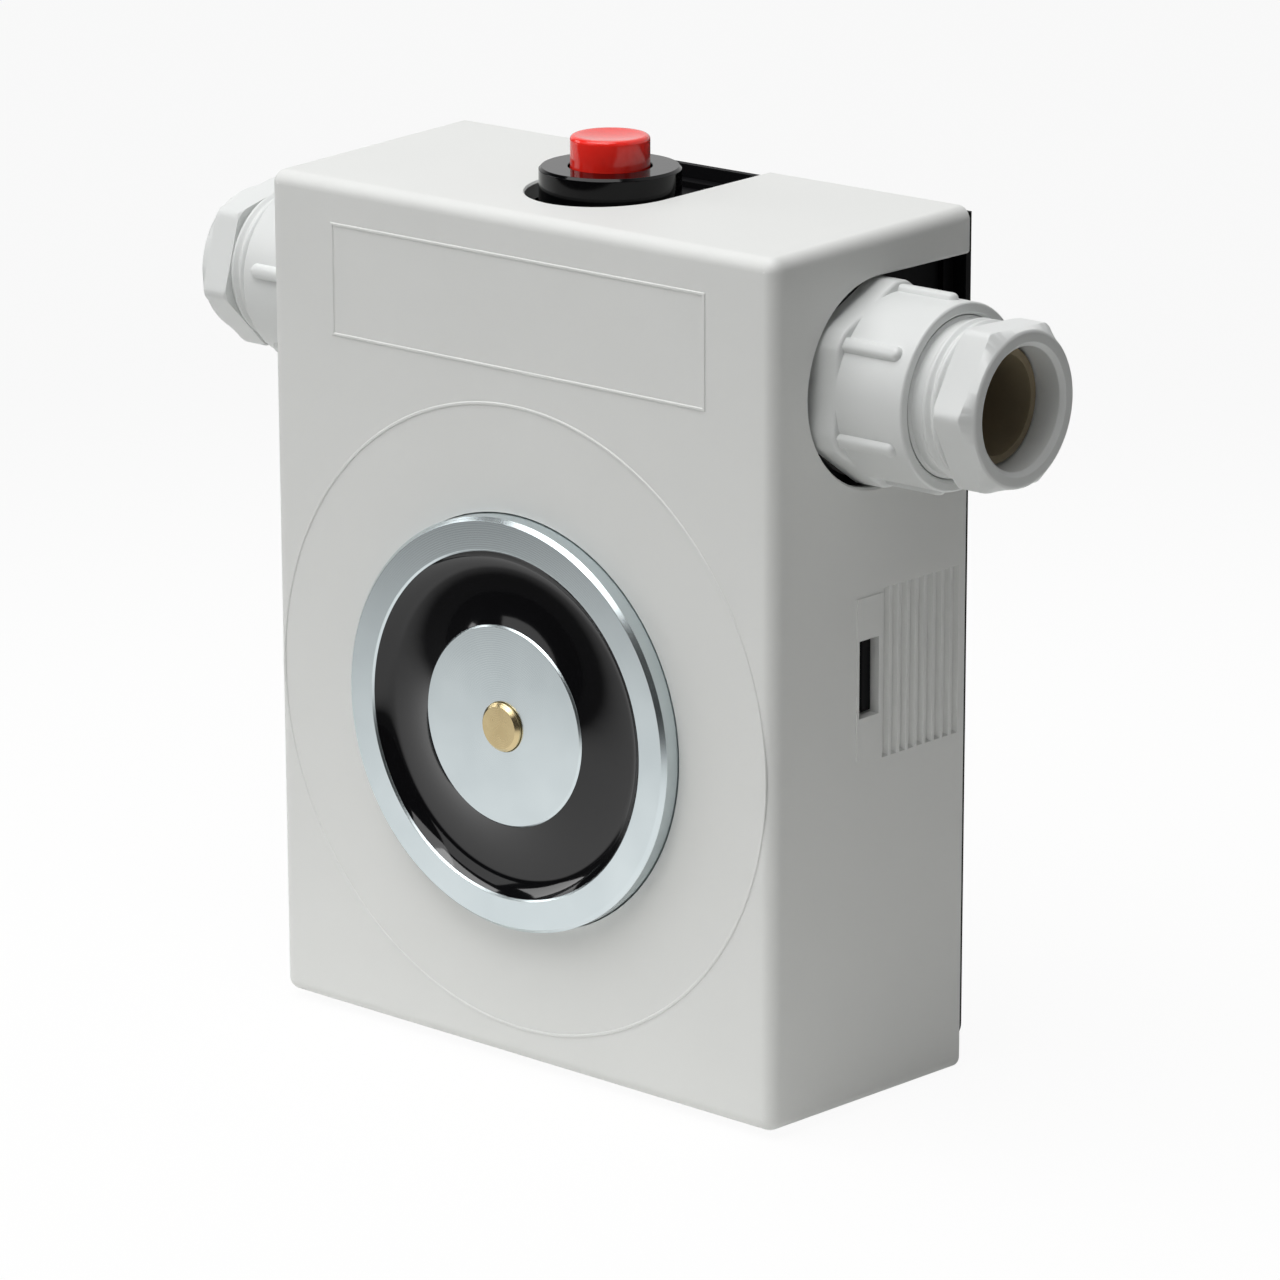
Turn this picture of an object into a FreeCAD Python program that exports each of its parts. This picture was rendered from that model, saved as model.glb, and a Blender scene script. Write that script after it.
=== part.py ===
"""Electromagnetic door holder: a wall-mounted holding magnet with a clip-on cover.

Every size is a cell of the sheet "sizes", in millimetres or degrees. The origin is the middle of the
wall-screw pattern on the back face: X to the right, Y into the wall and Z up. Pieces that face the wall
are drawn in the wall's own frame: X to the right, Y up and Z out from the wall. The button is drawn about
its upright axis and each gland about its axis, pointing out of the housing.
"""

import math
import os
from types import SimpleNamespace

import FreeCAD
import Part
import Sketcher
from FreeCAD import Placement, Rotation, Vector

SIZES = {
    # Cover
    "cover_width": 88.0,
    "cover_height": 115.0,
    "cover_depth": 37.0,
    "cover_taper": 1.0,
    "cover_wall": 2.2,
    "cover_rounding": 1.8,
    "bead_width": 0.45,
    "bead_height": 0.12,
    "bead_slope": 0.1,
    "field_width": 63.4,
    "field_height": 14.6,
    "field_rise": 43.5,
    "ring_diameter": 83.6,
    # Openings in the cover
    "mouth_gap": 0.15,
    "entry_rise": 38.0,
    "entry_depth": 18.0,
    "entry_diameter": 27.0,
    "slot_depth": 20.7,
    "slot_gap": 0.9,
    "slot_flare": 0.9,
    "edge_break": 0.3,
    # Latch windows and grips
    "window_depth": 19.9,
    "window_width": 3.8,
    "window_height": 10.2,
    "panel_margin": 0.4,
    "panel_height": 21.2,
    "panel_raise": 0.15,
    "groove_start": 2.9,
    "groove_pitch": 1.7,
    "groove_count": 9,
    "groove_width": 1.2,
    "groove_cut": 0.6,
    "groove_slope": 30.0,
    "groove_length": 22.4,
    # Base
    "base_lip": 1.0,
    "base_inset": 0.5,
    "base_drop": 0.8,
    "base_foot": 3.0,
    "base_corner": 3.0,
    "base_plate": 3.0,
    "base_wall": 2.2,
    "base_reach": 33.0,
    "base_wall_foot": 22.0,
    "fit_gap": 0.3,
    "latch_height": 9.4,
    "latch_tail": 4.0,
    "latch_nose": 1.5,
    "screw_spacing_x": 54.0,
    "screw_spacing_y": 92.0,
    "screw_hole": 4.8,
    "screw_boss": 10.0,
    "screw_boss_height": 1.5,
    "pedestal_diameter": 32.0,
    # Magnet
    "magnet_drop": 10.3,
    "pot_diameter": 55.0,
    "pot_height": 28.0,
    "pot_proud": 2.7,
    "pot_chamfer": 0.55,
    "pot_floor": 6.0,
    "pole_width": 4.5,
    "pole_chamfer": 0.25,
    "core_diameter": 26.8,
    "coil_gap": 0.1,
    "bobbin_wall": 0.9,
    "winding_inset": 0.5,
    "potting_gap": 0.02,
    "potting_depth": 3.6,
    "potting_drop": 0.3,
    "meniscus_radius": 10.1,
    # Push-off pin, its spring and the magnet's screw
    "pin_diameter": 6.5,
    "pin_fit": 0.06,
    "pin_proud": 0.8,
    "pin_chamfer": 0.45,
    "pin_guide": 5.0,
    "pin_head_diameter": 8.3,
    "pin_head": 2.5,
    "pin_stop_gap": 0.05,
    "chamber_diameter": 8.6,
    "pin_spring_diameter": 6.4,
    "pin_spring_wire": 0.8,
    "pin_spring_turns": 6,
    "bolt_diameter": 10.0,
    "bolt_gap": 0.05,
    "bolt_depth": 9.0,
    "bolt_clearance": 0.3,
    "bolt_head_diameter": 15.0,
    "bolt_head": 5.0,
    "bolt_sink": 0.6,
    "bolt_socket": 8.0,
    "bolt_socket_depth": 3.5,
    # Push button
    "button_depth": 19.4,
    "button_travel": 2.0,
    "stop_gap": 0.2,
    "cap_diameter": 10.3,
    "cap_rise": 4.0,
    "cap_sink": 0.65,
    "cap_gap": 0.3,
    "cap_rounding": 0.6,
    "cap_dish": 0.25,
    "cap_rim": 1.0,
    "collar_diameter": 18.4,
    "collar_height": 5.7,
    "collar_chamfer": 0.35,
    "bush_diameter": 12.0,
    "bush_gap": 0.05,
    "stem_diameter": 7.0,
    "stem_fit": 0.08,
    "stem_length": 12.0,
    "switch_diameter": 17.0,
    "switch_height": 14.0,
    "switch_floor": 2.5,
    "switch_spring_diameter": 5.4,
    "switch_spring_wire": 0.6,
    "switch_spring_turns": 4,
    "lug_spacing": 8.0,
    "lug_width": 2.8,
    "lug_thickness": 0.8,
    "lug_length": 5.0,
    # Cable glands
    "gasket_thickness": 1.0,
    "gasket_diameter": 24.6,
    "gland_flange": 5.4,
    "gland_flats": 23.8,
    "gland_turned": 26.2,
    "gland_turn_left": 20.5,
    "gland_turn_right": 55.0,
    "gland_collar_end": 15.7,
    "gland_mouth_chamfer": 0.4,
    "gland_rib_width": 1.9,
    "gland_rib_height": 0.8,
    "gland_rib_length": 8.6,
    "gland_rib_run": 1.6,
    "gland_thread": 20.4,
    "gland_thread_gap": 0.1,
    "gland_neck": 11.0,
    "gland_passage": 15.0,
    "gland_seat": 1.6,
    "seal_length": 11.0,
    "seal_bore": 10.0,
    "seal_nose_length": 8.9,
    "seal_nose_wall": 1.0,
    "seal_nose_gap": 0.1,
    "ring_thickness": 1.0,
    "thread_pitch": 1.41,
    "thread_depth": 0.45,
    "thread_turns": 3,
    "head_start": 20.0,
    "head_length": 5.5,
    "head_flats": 20.0,
    "head_turned": 22.7,
    "head_face": 19.4,
    "head_bevel": 1.5,
    "head_turn_left": 44.0,
    "head_turn_right": 27.4,
    "head_bore": 15.6,
    "lip_chamfer": 0.6,
    "nut_flats": 25.0,
    "nut_thickness": 5.0,
    "nut_turn": 30.0,
    # Terminal block
    "block_poles": 4,
    "block_pitch": 10.0,
    "block_height": 9.0,
    "block_depth": 13.0,
    "block_clear": 1.6,
    "cell_width": 5.0,
    "cell_height": 6.4,
    "cell_floor": 2.0,
    "cell_gap": 0.1,
    "clamp_height": 6.0,
    "wire_hole": 2.0,
    "clamp_screw": 2.6,
    "clamp_screw_length": 4.0,
    "clamp_screw_bite": 1.6,
    "clamp_screw_head": 4.2,
    "clamp_screw_head_height": 1.6,
    "driver_slot": 0.8,
    "driver_slot_depth": 0.8,
    "fixing_diameter": 3.0,
    "fixing_clearance": 0.2,
    "fixing_bite": 2.0,
    "fixing_head": 4.6,
    "fixing_head_height": 1.8,
    # Leads
    "lead_diameter": 1.5,
    "lead_hole": 2.4,
    "lead_ring": 36.0,
    "lead_bend": 3.5,
    "lead_entry": 2.5,
}

SHEET = "sizes"
WALL = Rotation(Vector(1, 0, 0), 90)

os.makedirs("parts", exist_ok=True)
DOC = FreeCAD.newDocument("door_holder")
PIECES = []


class Size:
    """A length that carries its value and the sheet formula it follows."""

    def __init__(self, value, formula):
        self.value = float(value)
        self.formula = formula

    def __add__(self, other):
        other = size(other)
        return Size(self.value + other.value, f"({self.formula} + {other.formula})")

    __radd__ = __add__

    def __neg__(self):
        return Size(-self.value, f"(0 - {self.formula})")

    def __sub__(self, other):
        other = size(other)
        return Size(self.value - other.value, f"({self.formula} - {other.formula})")

    def __rsub__(self, other):
        return size(other) - self

    def __mul__(self, other):
        other = size(other)
        return Size(self.value * other.value, f"({self.formula} * {other.formula})")

    __rmul__ = __mul__

    def __truediv__(self, other):
        other = size(other)
        return Size(self.value / other.value, f"({self.formula} / {other.formula})")


def size(value):
    """Returns value as a Size, so that plain numbers join formulas."""
    return value if isinstance(value, Size) else Size(value, f"({value})")


def write_sheet():
    """Writes the sizes into an aliased sheet and returns them by name."""
    sheet = DOC.addObject("Spreadsheet::Sheet", SHEET)
    for row, (name, value) in enumerate(SIZES.items(), start=1):
        sheet.set(f"A{row}", name)
        sheet.set(f"B{row}", str(value))
        sheet.setAlias(f"B{row}", name)
    DOC.recompute()
    return SimpleNamespace(**{name: Size(value, f"{SHEET}.{name}") for name, value in SIZES.items()})


S = write_sheet()

# Planes and positions that several pieces share
front = S.base_lip + S.cover_depth
wall_slope = S.cover_taper / S.cover_depth
inner_narrowing = S.cover_wall + S.fit_gap + wall_slope * (S.base_reach - S.base_lip)
gland_plane = S.cover_width / 2 - inner_narrowing
shelf_top = S.cover_height / 2 - inner_narrowing
shelf_under = shelf_top - S.base_wall
pot_front = front + S.pot_proud
pot_back = pot_front - S.pot_height
pot_radius = S.pot_diameter / 2
core_radius = S.core_diameter / 2
pole_radius = pot_radius - S.pole_width
coil_start = pot_back + S.pot_floor
coil_end = pot_front - S.potting_depth
pin_radius = S.pin_diameter / 2
pin_shoulder = pot_front - S.pin_guide
pin_head_top = pin_shoulder - S.pin_stop_gap
pin_head_foot = pin_head_top - S.pin_head
bolt_radius = S.bolt_diameter / 2
bolt_seat = S.bolt_sink + S.bolt_head
bolt_tip = pot_back + S.bolt_depth
collar_top = shelf_top + S.collar_height
cap_foot = collar_top - S.cap_sink
bush_top = cap_foot - S.button_travel - S.stop_gap
stem_foot = cap_foot - S.stem_length
switch_foot = shelf_under - S.switch_height
bore_foot = switch_foot + S.switch_floor
gland_bore = S.gland_thread / 2 + S.gland_thread_gap
seal_end = S.gland_seat + S.seal_length
screw_tip = seal_end + S.ring_thickness
block_foot = pot_radius - S.magnet_drop + S.block_clear
block_middle = block_foot + S.block_height / 2
block_top = block_foot + S.block_height
block_length = S.block_pitch * S.block_poles
clamp_foot = S.base_plate + S.cell_floor
clamp_top = clamp_foot + S.clamp_height
lead_rise = S.lead_ring / 2 - S.magnet_drop


def bind(target, name, length):
    """Ties a property to the sheet."""
    target.setExpression(name, size(length).formula)


def piece(label, rotation, x=0, y=0, z=0):
    """Starts a body whose label names its file, at a place tied to the sheet."""
    body = DOC.addObject("PartDesign::Body", label)
    body.Label = label
    body.AllowCompound = True
    place(body, rotation, x, y, z)
    PIECES.append(body)
    return body


def place(target, rotation, x, y, z):
    """Turns a piece and ties its position to the sheet."""
    target.Placement = Placement(Vector(size(x).value, size(y).value, size(z).value), rotation)
    for axis, length in zip("xyz", (x, y, z)):
        bind(target, f"Placement.Base.{axis}", length)


def wall_piece(label):
    """Starts a body drawn in the wall's frame."""
    return piece(label, WALL)


def magnet_piece(label):
    """Starts a body drawn about the magnet's axis, from the wall outwards."""
    return piece(label, WALL, z=-S.magnet_drop)


def button_piece(label):
    """Starts a body drawn about the button's upright axis."""
    return piece(label, Rotation(), y=-S.button_depth)


def gland_piece(label, side):
    """Starts a body drawn about a gland's axis, from the base's side wall outwards."""
    turn = Rotation(Vector(0, 1, 0), 90 * side)
    return piece(label, turn, gland_plane * side, -S.entry_depth, S.entry_rise)


def origin(body, role):
    """Returns one of the body's own origin planes or axes."""
    return next(feature for feature in body.Origin.OriginFeatures if feature.Role == role)


def fix(sketch, constraint, length):
    """Adds a constraint whose length follows the sheet."""
    index = sketch.addConstraint(constraint)
    bind(sketch, f"Constraints[{index}]", length)


def tie(sketch, geometry, end, x, y):
    """Holds one point of a sketch at (x, y)."""
    for kind, axis, length in (("DistanceX", -2, size(x)), ("DistanceY", -1, size(y))):
        if length.value == 0:
            sketch.addConstraint(Sketcher.Constraint("PointOnObject", geometry, end, axis))
        elif length.value > 0:
            fix(sketch, Sketcher.Constraint(kind, -1, 1, geometry, end, length.value), length)
        else:
            fix(sketch, Sketcher.Constraint(kind, geometry, end, -1, 1, -length.value), -length)


def disc(x, y, radius):
    """Returns a drawing of a circle about (x, y)."""

    def draw(sketch):
        centre = Vector(size(x).value, size(y).value, 0)
        circle = sketch.addGeometry(Part.Circle(centre, Vector(0, 0, 1), size(radius).value))
        tie(sketch, circle, 3, x, y)
        fix(sketch, Sketcher.Constraint("Radius", circle, size(radius).value), radius)

    return draw


def outline(*points, hollow=None, hollow_radius=None):
    """Returns a drawing of a closed outline.

    The edge that starts at corner number hollow, if any, is an arc sunk below its chord: of hollow_radius,
    or centred on the upright axis where no radius is given.
    """

    def draw(sketch):
        corners = [Vector(size(x).value, size(y).value, 0) for x, y in points]
        ends = []
        for index, corner in enumerate(corners):
            target = corners[(index + 1) % len(corners)]
            if index != hollow:
                edge = sketch.addGeometry(Part.LineSegment(corner, target))
                ends.append((edge, 1, 2))
                continue
            if hollow_radius is None:
                middle = Vector(target.x, corner.y, 0) + (corner - target) * 0.5
                middle.y = target.y + (corner.y - target.y) * 0.25
            else:
                half = (corner - target).Length / 2
                sink = hollow_radius.value - math.sqrt(hollow_radius.value**2 - half**2)
                middle = (corner + target) * 0.5 - Vector(0, sink, 0)
            edge = sketch.addGeometry(Part.Arc(corner, middle, target))
            forward = sketch.getPoint(edge, 1).distanceToPoint(corner) < 1e-6
            ends.append((edge, 1, 2) if forward else (edge, 2, 1))
        for index, (edge, start, finish) in enumerate(ends):
            follower, begin, _ = ends[(index + 1) % len(ends)]
            sketch.addConstraint(Sketcher.Constraint("Coincident", edge, finish, follower, begin))
            tie(sketch, edge, start, *points[index])
        if hollow is not None:
            arc = ends[hollow][0]
            if hollow_radius is None:
                sketch.addConstraint(Sketcher.Constraint("PointOnObject", arc, 3, -2))
            else:
                fix(sketch, Sketcher.Constraint("Radius", arc, hollow_radius.value), hollow_radius)

    return draw


def rect(x0, x1, y0, y1):
    """Returns a drawing of a rectangle between two corners."""
    return outline((x0, y0), (x1, y0), (x1, y1), (x0, y1))


def sketch_on(body, name, role, start=0):
    """Starts a sketch on one of the body's origin planes, start along the plane's normal."""
    sketch = body.newObject("Sketcher::SketchObject", f"{name}_sketch")
    sketch.AttachmentSupport = [(origin(body, role), "")]
    sketch.MapMode = "FlatFace"
    bind(sketch, "AttachmentOffset.Base.z", start)
    return sketch


def extrude(body, name, role, start, length, *drawings, cut=False):
    """Pads or cuts drawings on an origin plane, from start along the body's positive axis."""
    backward = role == "XZ_Plane"
    sketch = sketch_on(body, name, role, -size(start) if backward else start)
    for draw in drawings:
        draw(sketch)
    feature = body.newObject("PartDesign::Pocket" if cut else "PartDesign::Pad", name)
    feature.Profile = sketch
    feature.Reversed = backward != cut
    bind(feature, "Length", length)
    return feature


def revolve(body, name, drawing, cut=False):
    """Turns, or turns away, a half section about the body's Z axis."""
    sketch = sketch_on(body, name, "XZ_Plane")
    drawing(sketch)
    feature = body.newObject("PartDesign::Groove" if cut else "PartDesign::Revolution", name)
    feature.Profile = sketch
    feature.ReferenceAxis = (sketch, ["V_Axis"])
    feature.Angle = 360
    return feature


def hexagon(body, name, start, length, flats, turn=None, cut=False):
    """Adds or cuts a hexagonal prism about the body's Z axis."""
    kind = "PartDesign::SubtractivePrism" if cut else "PartDesign::AdditivePrism"
    prism = body.newObject(kind, name)
    prism.Polygon = 6
    prism.AttachmentSupport = [(origin(body, "XY_Plane"), "")]
    prism.MapMode = "FlatFace"
    bind(prism, "AttachmentOffset.Base.z", start)
    if turn is not None:
        prism.AttachmentOffset = Placement(Vector(), Rotation(Vector(0, 0, 1), turn.value))
        bind(prism, "AttachmentOffset.Rotation.Angle", turn)
    bind(prism, "Circumradius", flats / math.sqrt(3))
    bind(prism, "Height", length)
    return prism


def row_of(body, name, feature, count, spacing):
    """Repeats features along the body's X axis."""
    pattern = body.newObject("PartDesign::LinearPattern", name)
    pattern.Originals = feature
    pattern.Direction = (origin(body, "X_Axis"), [""])
    bind(pattern, "Length", spacing * (count - 1))
    bind(pattern, "Occurrences", count)
    body.Tip = pattern
    return pattern


def mirror(body, name, *features):
    """Repeats features on the other side of the body's YZ plane."""
    mirrored = body.newObject("PartDesign::Mirrored", name)
    mirrored.Originals = list(features)
    mirrored.MirrorPlane = (origin(body, "YZ_Plane"), [""])
    body.Tip = mirrored
    return mirrored


def names_of(kind, shapes, test):
    """Returns the numbered names of the faces or edges that pass a test."""
    return [f"{kind}{number}" for number, shape in enumerate(shapes, start=1) if test(shape)]


def taper(body, name, feature, faces, inward):
    """Drafts faces of a feature from the cover's rim, as a mould needs."""
    rim = S.base_lip.value
    seat = names_of("Face", feature.Shape.Faces, lambda face: face.BoundBox.ZMax < rim + 1e-4)
    draft = body.newObject("PartDesign::Draft", name)
    draft.Base = (feature, faces)
    draft.NeutralPlane = (feature, seat[:1])
    draft.Reversed = inward
    draft.setExpression("Angle", f"atan({wall_slope.formula})")
    DOC.recompute()
    return draft


def side_sketch(body, name):
    """Starts a sketch that lies on the cover's tapered right wall."""
    reach = S.cover_width / 2 + wall_slope * S.base_lip
    sketch = sketch_on(body, name, "YZ_Plane", reach)
    slope = -math.degrees(math.atan(wall_slope.value))
    sketch.AttachmentOffset = Placement(Vector(0, 0, reach.value), Rotation(Vector(1, 0, 0), slope))
    bind(sketch, "AttachmentOffset.Base.z", reach)
    sketch.setExpression("AttachmentOffset.Rotation.Angle", f"-atan({wall_slope.formula})")
    return sketch


def upright(face):
    """Tells whether a face stands along the wall frame's Z axis."""
    return abs(face.normalAt(0, 0).z) < 0.2


def build_cover():
    """Moulds the cover: a tapered shell with its openings, grips and raised outlines."""
    cover = wall_piece("cover")
    rim = S.base_lip.value
    half_width = S.cover_width / 2
    half_height = S.cover_height / 2
    inner_width = half_width - S.cover_wall
    inner_height = half_height - S.cover_wall

    face = rect(-half_width, half_width, -half_height, half_height)
    block = extrude(cover, "cover_block", "XY_Plane", S.base_lip, S.cover_depth, face)
    DOC.recompute()
    outer = taper(cover, "cover_draft", block, names_of("Face", block.Shape.Faces, upright), False)
    rounds = cover.newObject("PartDesign::Fillet", "cover_rounds")
    edges = names_of("Edge", outer.Shape.Edges, lambda edge: edge.BoundBox.ZMax > rim + 1)
    rounds.Base = (outer, edges)
    bind(rounds, "Radius", S.cover_rounding)

    hollow = rect(-inner_width, inner_width, -inner_height, inner_height)
    room = S.cover_depth - S.cover_wall
    cavity = extrude(cover, "cover_cavity", "XY_Plane", S.base_lip, room, hollow, cut=True)
    DOC.recompute()

    def inside(wall):
        middle = wall.CenterOfMass
        near_x = abs(abs(middle.x) - inner_width.value) < 0.1
        near_y = abs(abs(middle.y) - inner_height.value) < 0.1
        return upright(wall) and (near_x or near_y)

    taper(cover, "cavity_draft", cavity, names_of("Face", cavity.Shape.Faces, inside), True)

    window_near = S.window_depth - S.window_width / 2
    window_far = S.window_depth + S.window_width / 2
    panel_near = S.groove_start + S.groove_pitch * (S.groove_count - 0.5)
    panel_far = window_far + S.panel_margin
    sketch = side_sketch(cover, "panel")
    rect(-S.panel_height / 2, S.panel_height / 2, panel_near, panel_far)(sketch)
    panel = cover.newObject("PartDesign::Pad", "panel")
    panel.Profile = sketch
    bind(panel, "Length", S.panel_raise)

    sketch = side_sketch(cover, "grooves")
    for number in range(int(S.groove_count.value)):
        near = S.groove_start + S.groove_pitch * number - S.groove_width / 2
        rect(-S.groove_length / 2, S.groove_length / 2, near, near + S.groove_width)(sketch)
    grooves = cover.newObject("PartDesign::Pocket", "grooves")
    grooves.Profile = sketch
    bind(grooves, "Length", S.groove_cut)
    bind(grooves, "TaperAngle", -S.groove_slope)
    mirror(cover, "grips", panel, grooves)

    through = S.cover_width + 2
    side = -half_width - 1
    window = rect(-S.window_height / 2, S.window_height / 2, window_near, window_far)
    extrude(cover, "windows", "YZ_Plane", side, through, window, cut=True)

    entry = S.entry_diameter / 2
    round_end = disc(S.entry_rise, S.entry_depth, entry)
    extrude(cover, "entry_rounds", "YZ_Plane", side, through, round_end, cut=True)
    legs = rect(S.entry_rise - entry, S.entry_rise + entry, 0, S.entry_depth)
    extrude(cover, "entry_legs", "YZ_Plane", side, through, legs, cut=True)

    slot = S.collar_diameter / 2 + S.slot_gap
    slot_foot = half_height - S.cover_wall * 3
    slot_cut = S.cover_wall * 4
    extrude(cover, "slot_round", "XZ_Plane", slot_foot, slot_cut, disc(0, S.slot_depth, slot), cut=True)
    flared = slot + S.slot_flare
    legs = outline((-flared, 0), (flared, 0), (slot, S.slot_depth), (-slot, S.slot_depth))
    extrude(cover, "slot_legs", "XZ_Plane", slot_foot, slot_cut, legs, cut=True)

    mouth = disc(0, -S.magnet_drop, S.pot_diameter / 2 + S.mouth_gap)
    opened = extrude(cover, "mouth", "XY_Plane", front - S.cover_wall * 2, S.cover_wall * 3, mouth, cut=True)
    DOC.recompute()

    def outward(edge):
        box = edge.BoundBox
        points = [edge.CenterOfMass] + [vertex.Point for vertex in edge.Vertexes]
        lean = [wall_slope.value * (point.z - rim) for point in points]
        on_side = all(abs(abs(p.x) + n - half_width.value) < 1e-3 for p, n in zip(points, lean))
        on_top = all(abs(p.y + n - half_height.value) < 1e-3 for p, n in zip(points, lean))
        at_entry = max(abs(box.YMin - S.entry_rise.value), abs(box.YMax - S.entry_rise.value))
        at_slot = max(abs(box.XMin), abs(box.XMax))
        return (on_side and at_entry < entry.value + 0.01) or (on_top and at_slot < flared.value + 0.01)

    breaks = cover.newObject("PartDesign::Chamfer", "edge_breaks")
    breaks.Base = (opened, names_of("Edge", opened.Shape.Edges, outward))
    bind(breaks, "Size", S.edge_break)

    ring = S.ring_diameter / 2
    bead = S.bead_width / 2
    circles = (disc(0, -S.magnet_drop, ring + bead), disc(0, -S.magnet_drop, ring - bead))
    extrude(cover, "ring_bead", "XY_Plane", front, S.bead_height, *circles)
    width = S.field_width / 2
    foot = S.field_rise - S.field_height / 2
    head = S.field_rise + S.field_height / 2
    outside = rect(-width - bead, width + bead, foot - bead, head + bead)
    within = rect(-width + bead, width - bead, foot + bead, head - bead)
    beads = extrude(cover, "field_bead", "XY_Plane", front, S.bead_height, outside, within)
    DOC.recompute()
    crest = (front + S.bead_height).value

    def on_crest(edge):
        return edge.BoundBox.ZMin > crest - 1e-3

    slopes = cover.newObject("PartDesign::Chamfer", "bead_slopes")
    slopes.Base = (beads, names_of("Edge", beads.Shape.Edges, on_crest))
    bind(slopes, "Size", S.bead_slope)


def build_base():
    """Moulds the base: the wall plate, the gland walls, the switch shelf, latches and pedestal."""
    base = wall_piece("base")
    lip_width = S.cover_width / 2 - S.base_inset
    lip_top = S.cover_height / 2 - S.base_drop
    lip_foot = S.base_foot - S.cover_height / 2
    lip = rect(-lip_width, lip_width, lip_foot, lip_top)
    plate = extrude(base, "lip", "XY_Plane", 0, S.base_lip, lip)
    DOC.recompute()
    corners = base.newObject("PartDesign::Fillet", "lip_corners")
    foot = lip_foot.value

    def low_corner(edge):
        return edge.BoundBox.ZLength > 0.5 and edge.BoundBox.YMax < foot + 1e-4

    corners.Base = (plate, names_of("Edge", plate.Shape.Edges, low_corner))
    bind(corners, "Radius", S.base_corner)

    inset = S.cover_wall + S.fit_gap + wall_slope * (S.base_plate - S.base_lip)
    deck_width = S.cover_width / 2 - inset
    deck_top = S.cover_height / 2 - inset
    deck_foot = lip_foot + S.base_lip
    deck = rect(-deck_width, deck_width, deck_foot, deck_top)
    extrude(base, "deck", "XY_Plane", S.base_lip, S.base_plate - S.base_lip, deck)

    rise = S.base_reach - S.base_plate
    wall_inside = gland_plane - S.base_wall
    arch = outline(
        (-gland_plane, S.base_wall_foot),
        (-wall_inside, S.base_wall_foot),
        (-wall_inside, shelf_under),
        (wall_inside, shelf_under),
        (wall_inside, S.base_wall_foot),
        (gland_plane, S.base_wall_foot),
        (gland_plane, shelf_top),
        (-gland_plane, shelf_top),
    )
    extrude(base, "arch", "XY_Plane", S.base_plate, rise, arch)

    gland_hole = disc(S.entry_rise, S.entry_depth, gland_bore)
    side = -gland_plane - 1
    extrude(base, "gland_holes", "YZ_Plane", side, gland_plane * 2 + 2, gland_hole, cut=True)
    bush_hole = disc(0, S.button_depth, S.bush_diameter / 2 + S.bush_gap)
    extrude(base, "bush_hole", "XZ_Plane", shelf_under - 1, S.base_wall + 2, bush_hole, cut=True)

    arm_face = S.cover_width / 2 - S.cover_wall - S.fit_gap - wall_slope * (S.window_depth - S.base_lip)
    nose_near = S.window_depth - S.window_width / 2 + S.fit_gap
    nose_far = S.window_depth + S.window_width / 2 - S.fit_gap
    arm_end = nose_far + S.latch_tail
    arm_back = arm_face - S.base_wall
    profile = outline(
        (arm_back, S.base_plate),
        (arm_face, S.base_plate),
        (arm_face, nose_near),
        (arm_face + S.latch_nose, nose_near),
        (arm_face + S.latch_nose, nose_near + (nose_far - nose_near) / 2),
        (arm_face, nose_far),
        (arm_face, arm_end),
        (arm_back, arm_end),
    )
    half_latch = -S.latch_height / 2
    latch = extrude(base, "latch", "XZ_Plane", half_latch, S.latch_height, profile)
    mirror(base, "latches", latch)

    drop = -S.magnet_drop
    pedestal = disc(0, drop, S.pedestal_diameter / 2)
    extrude(base, "pedestal", "XY_Plane", S.base_plate, pot_back - S.base_plate, pedestal)
    head_room = disc(0, drop, S.bolt_head_diameter / 2 + S.bolt_clearance)
    extrude(base, "head_room", "XY_Plane", 0, bolt_seat, head_room, cut=True)
    shank_room = disc(0, drop, bolt_radius + S.bolt_clearance)
    extrude(base, "shank_room", "XY_Plane", 0, pot_back + 1, shank_room, cut=True)

    spots = [
        (S.screw_spacing_x / 2 * across, S.screw_spacing_y / 2 * up) for across in (-1, 1) for up in (-1, 1)
    ]
    bosses = [disc(x, y, S.screw_boss / 2) for x, y in spots]
    extrude(base, "screw_bosses", "XY_Plane", S.base_plate, S.screw_boss_height, *bosses)
    holes = [disc(x, y, S.screw_hole / 2) for x, y in spots]
    deep = S.base_plate + S.screw_boss_height + 1
    extrude(base, "screw_holes", "XY_Plane", -0.5, deep, *holes, cut=True)

    bites = [disc(S.block_pitch * way, block_middle, S.fixing_diameter / 2 + S.bolt_gap) for way in (-1, 1)]
    bite_foot = S.base_plate - S.fixing_bite
    extrude(base, "fixing_holes", "XY_Plane", bite_foot, S.fixing_bite, *bites, cut=True)


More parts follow.
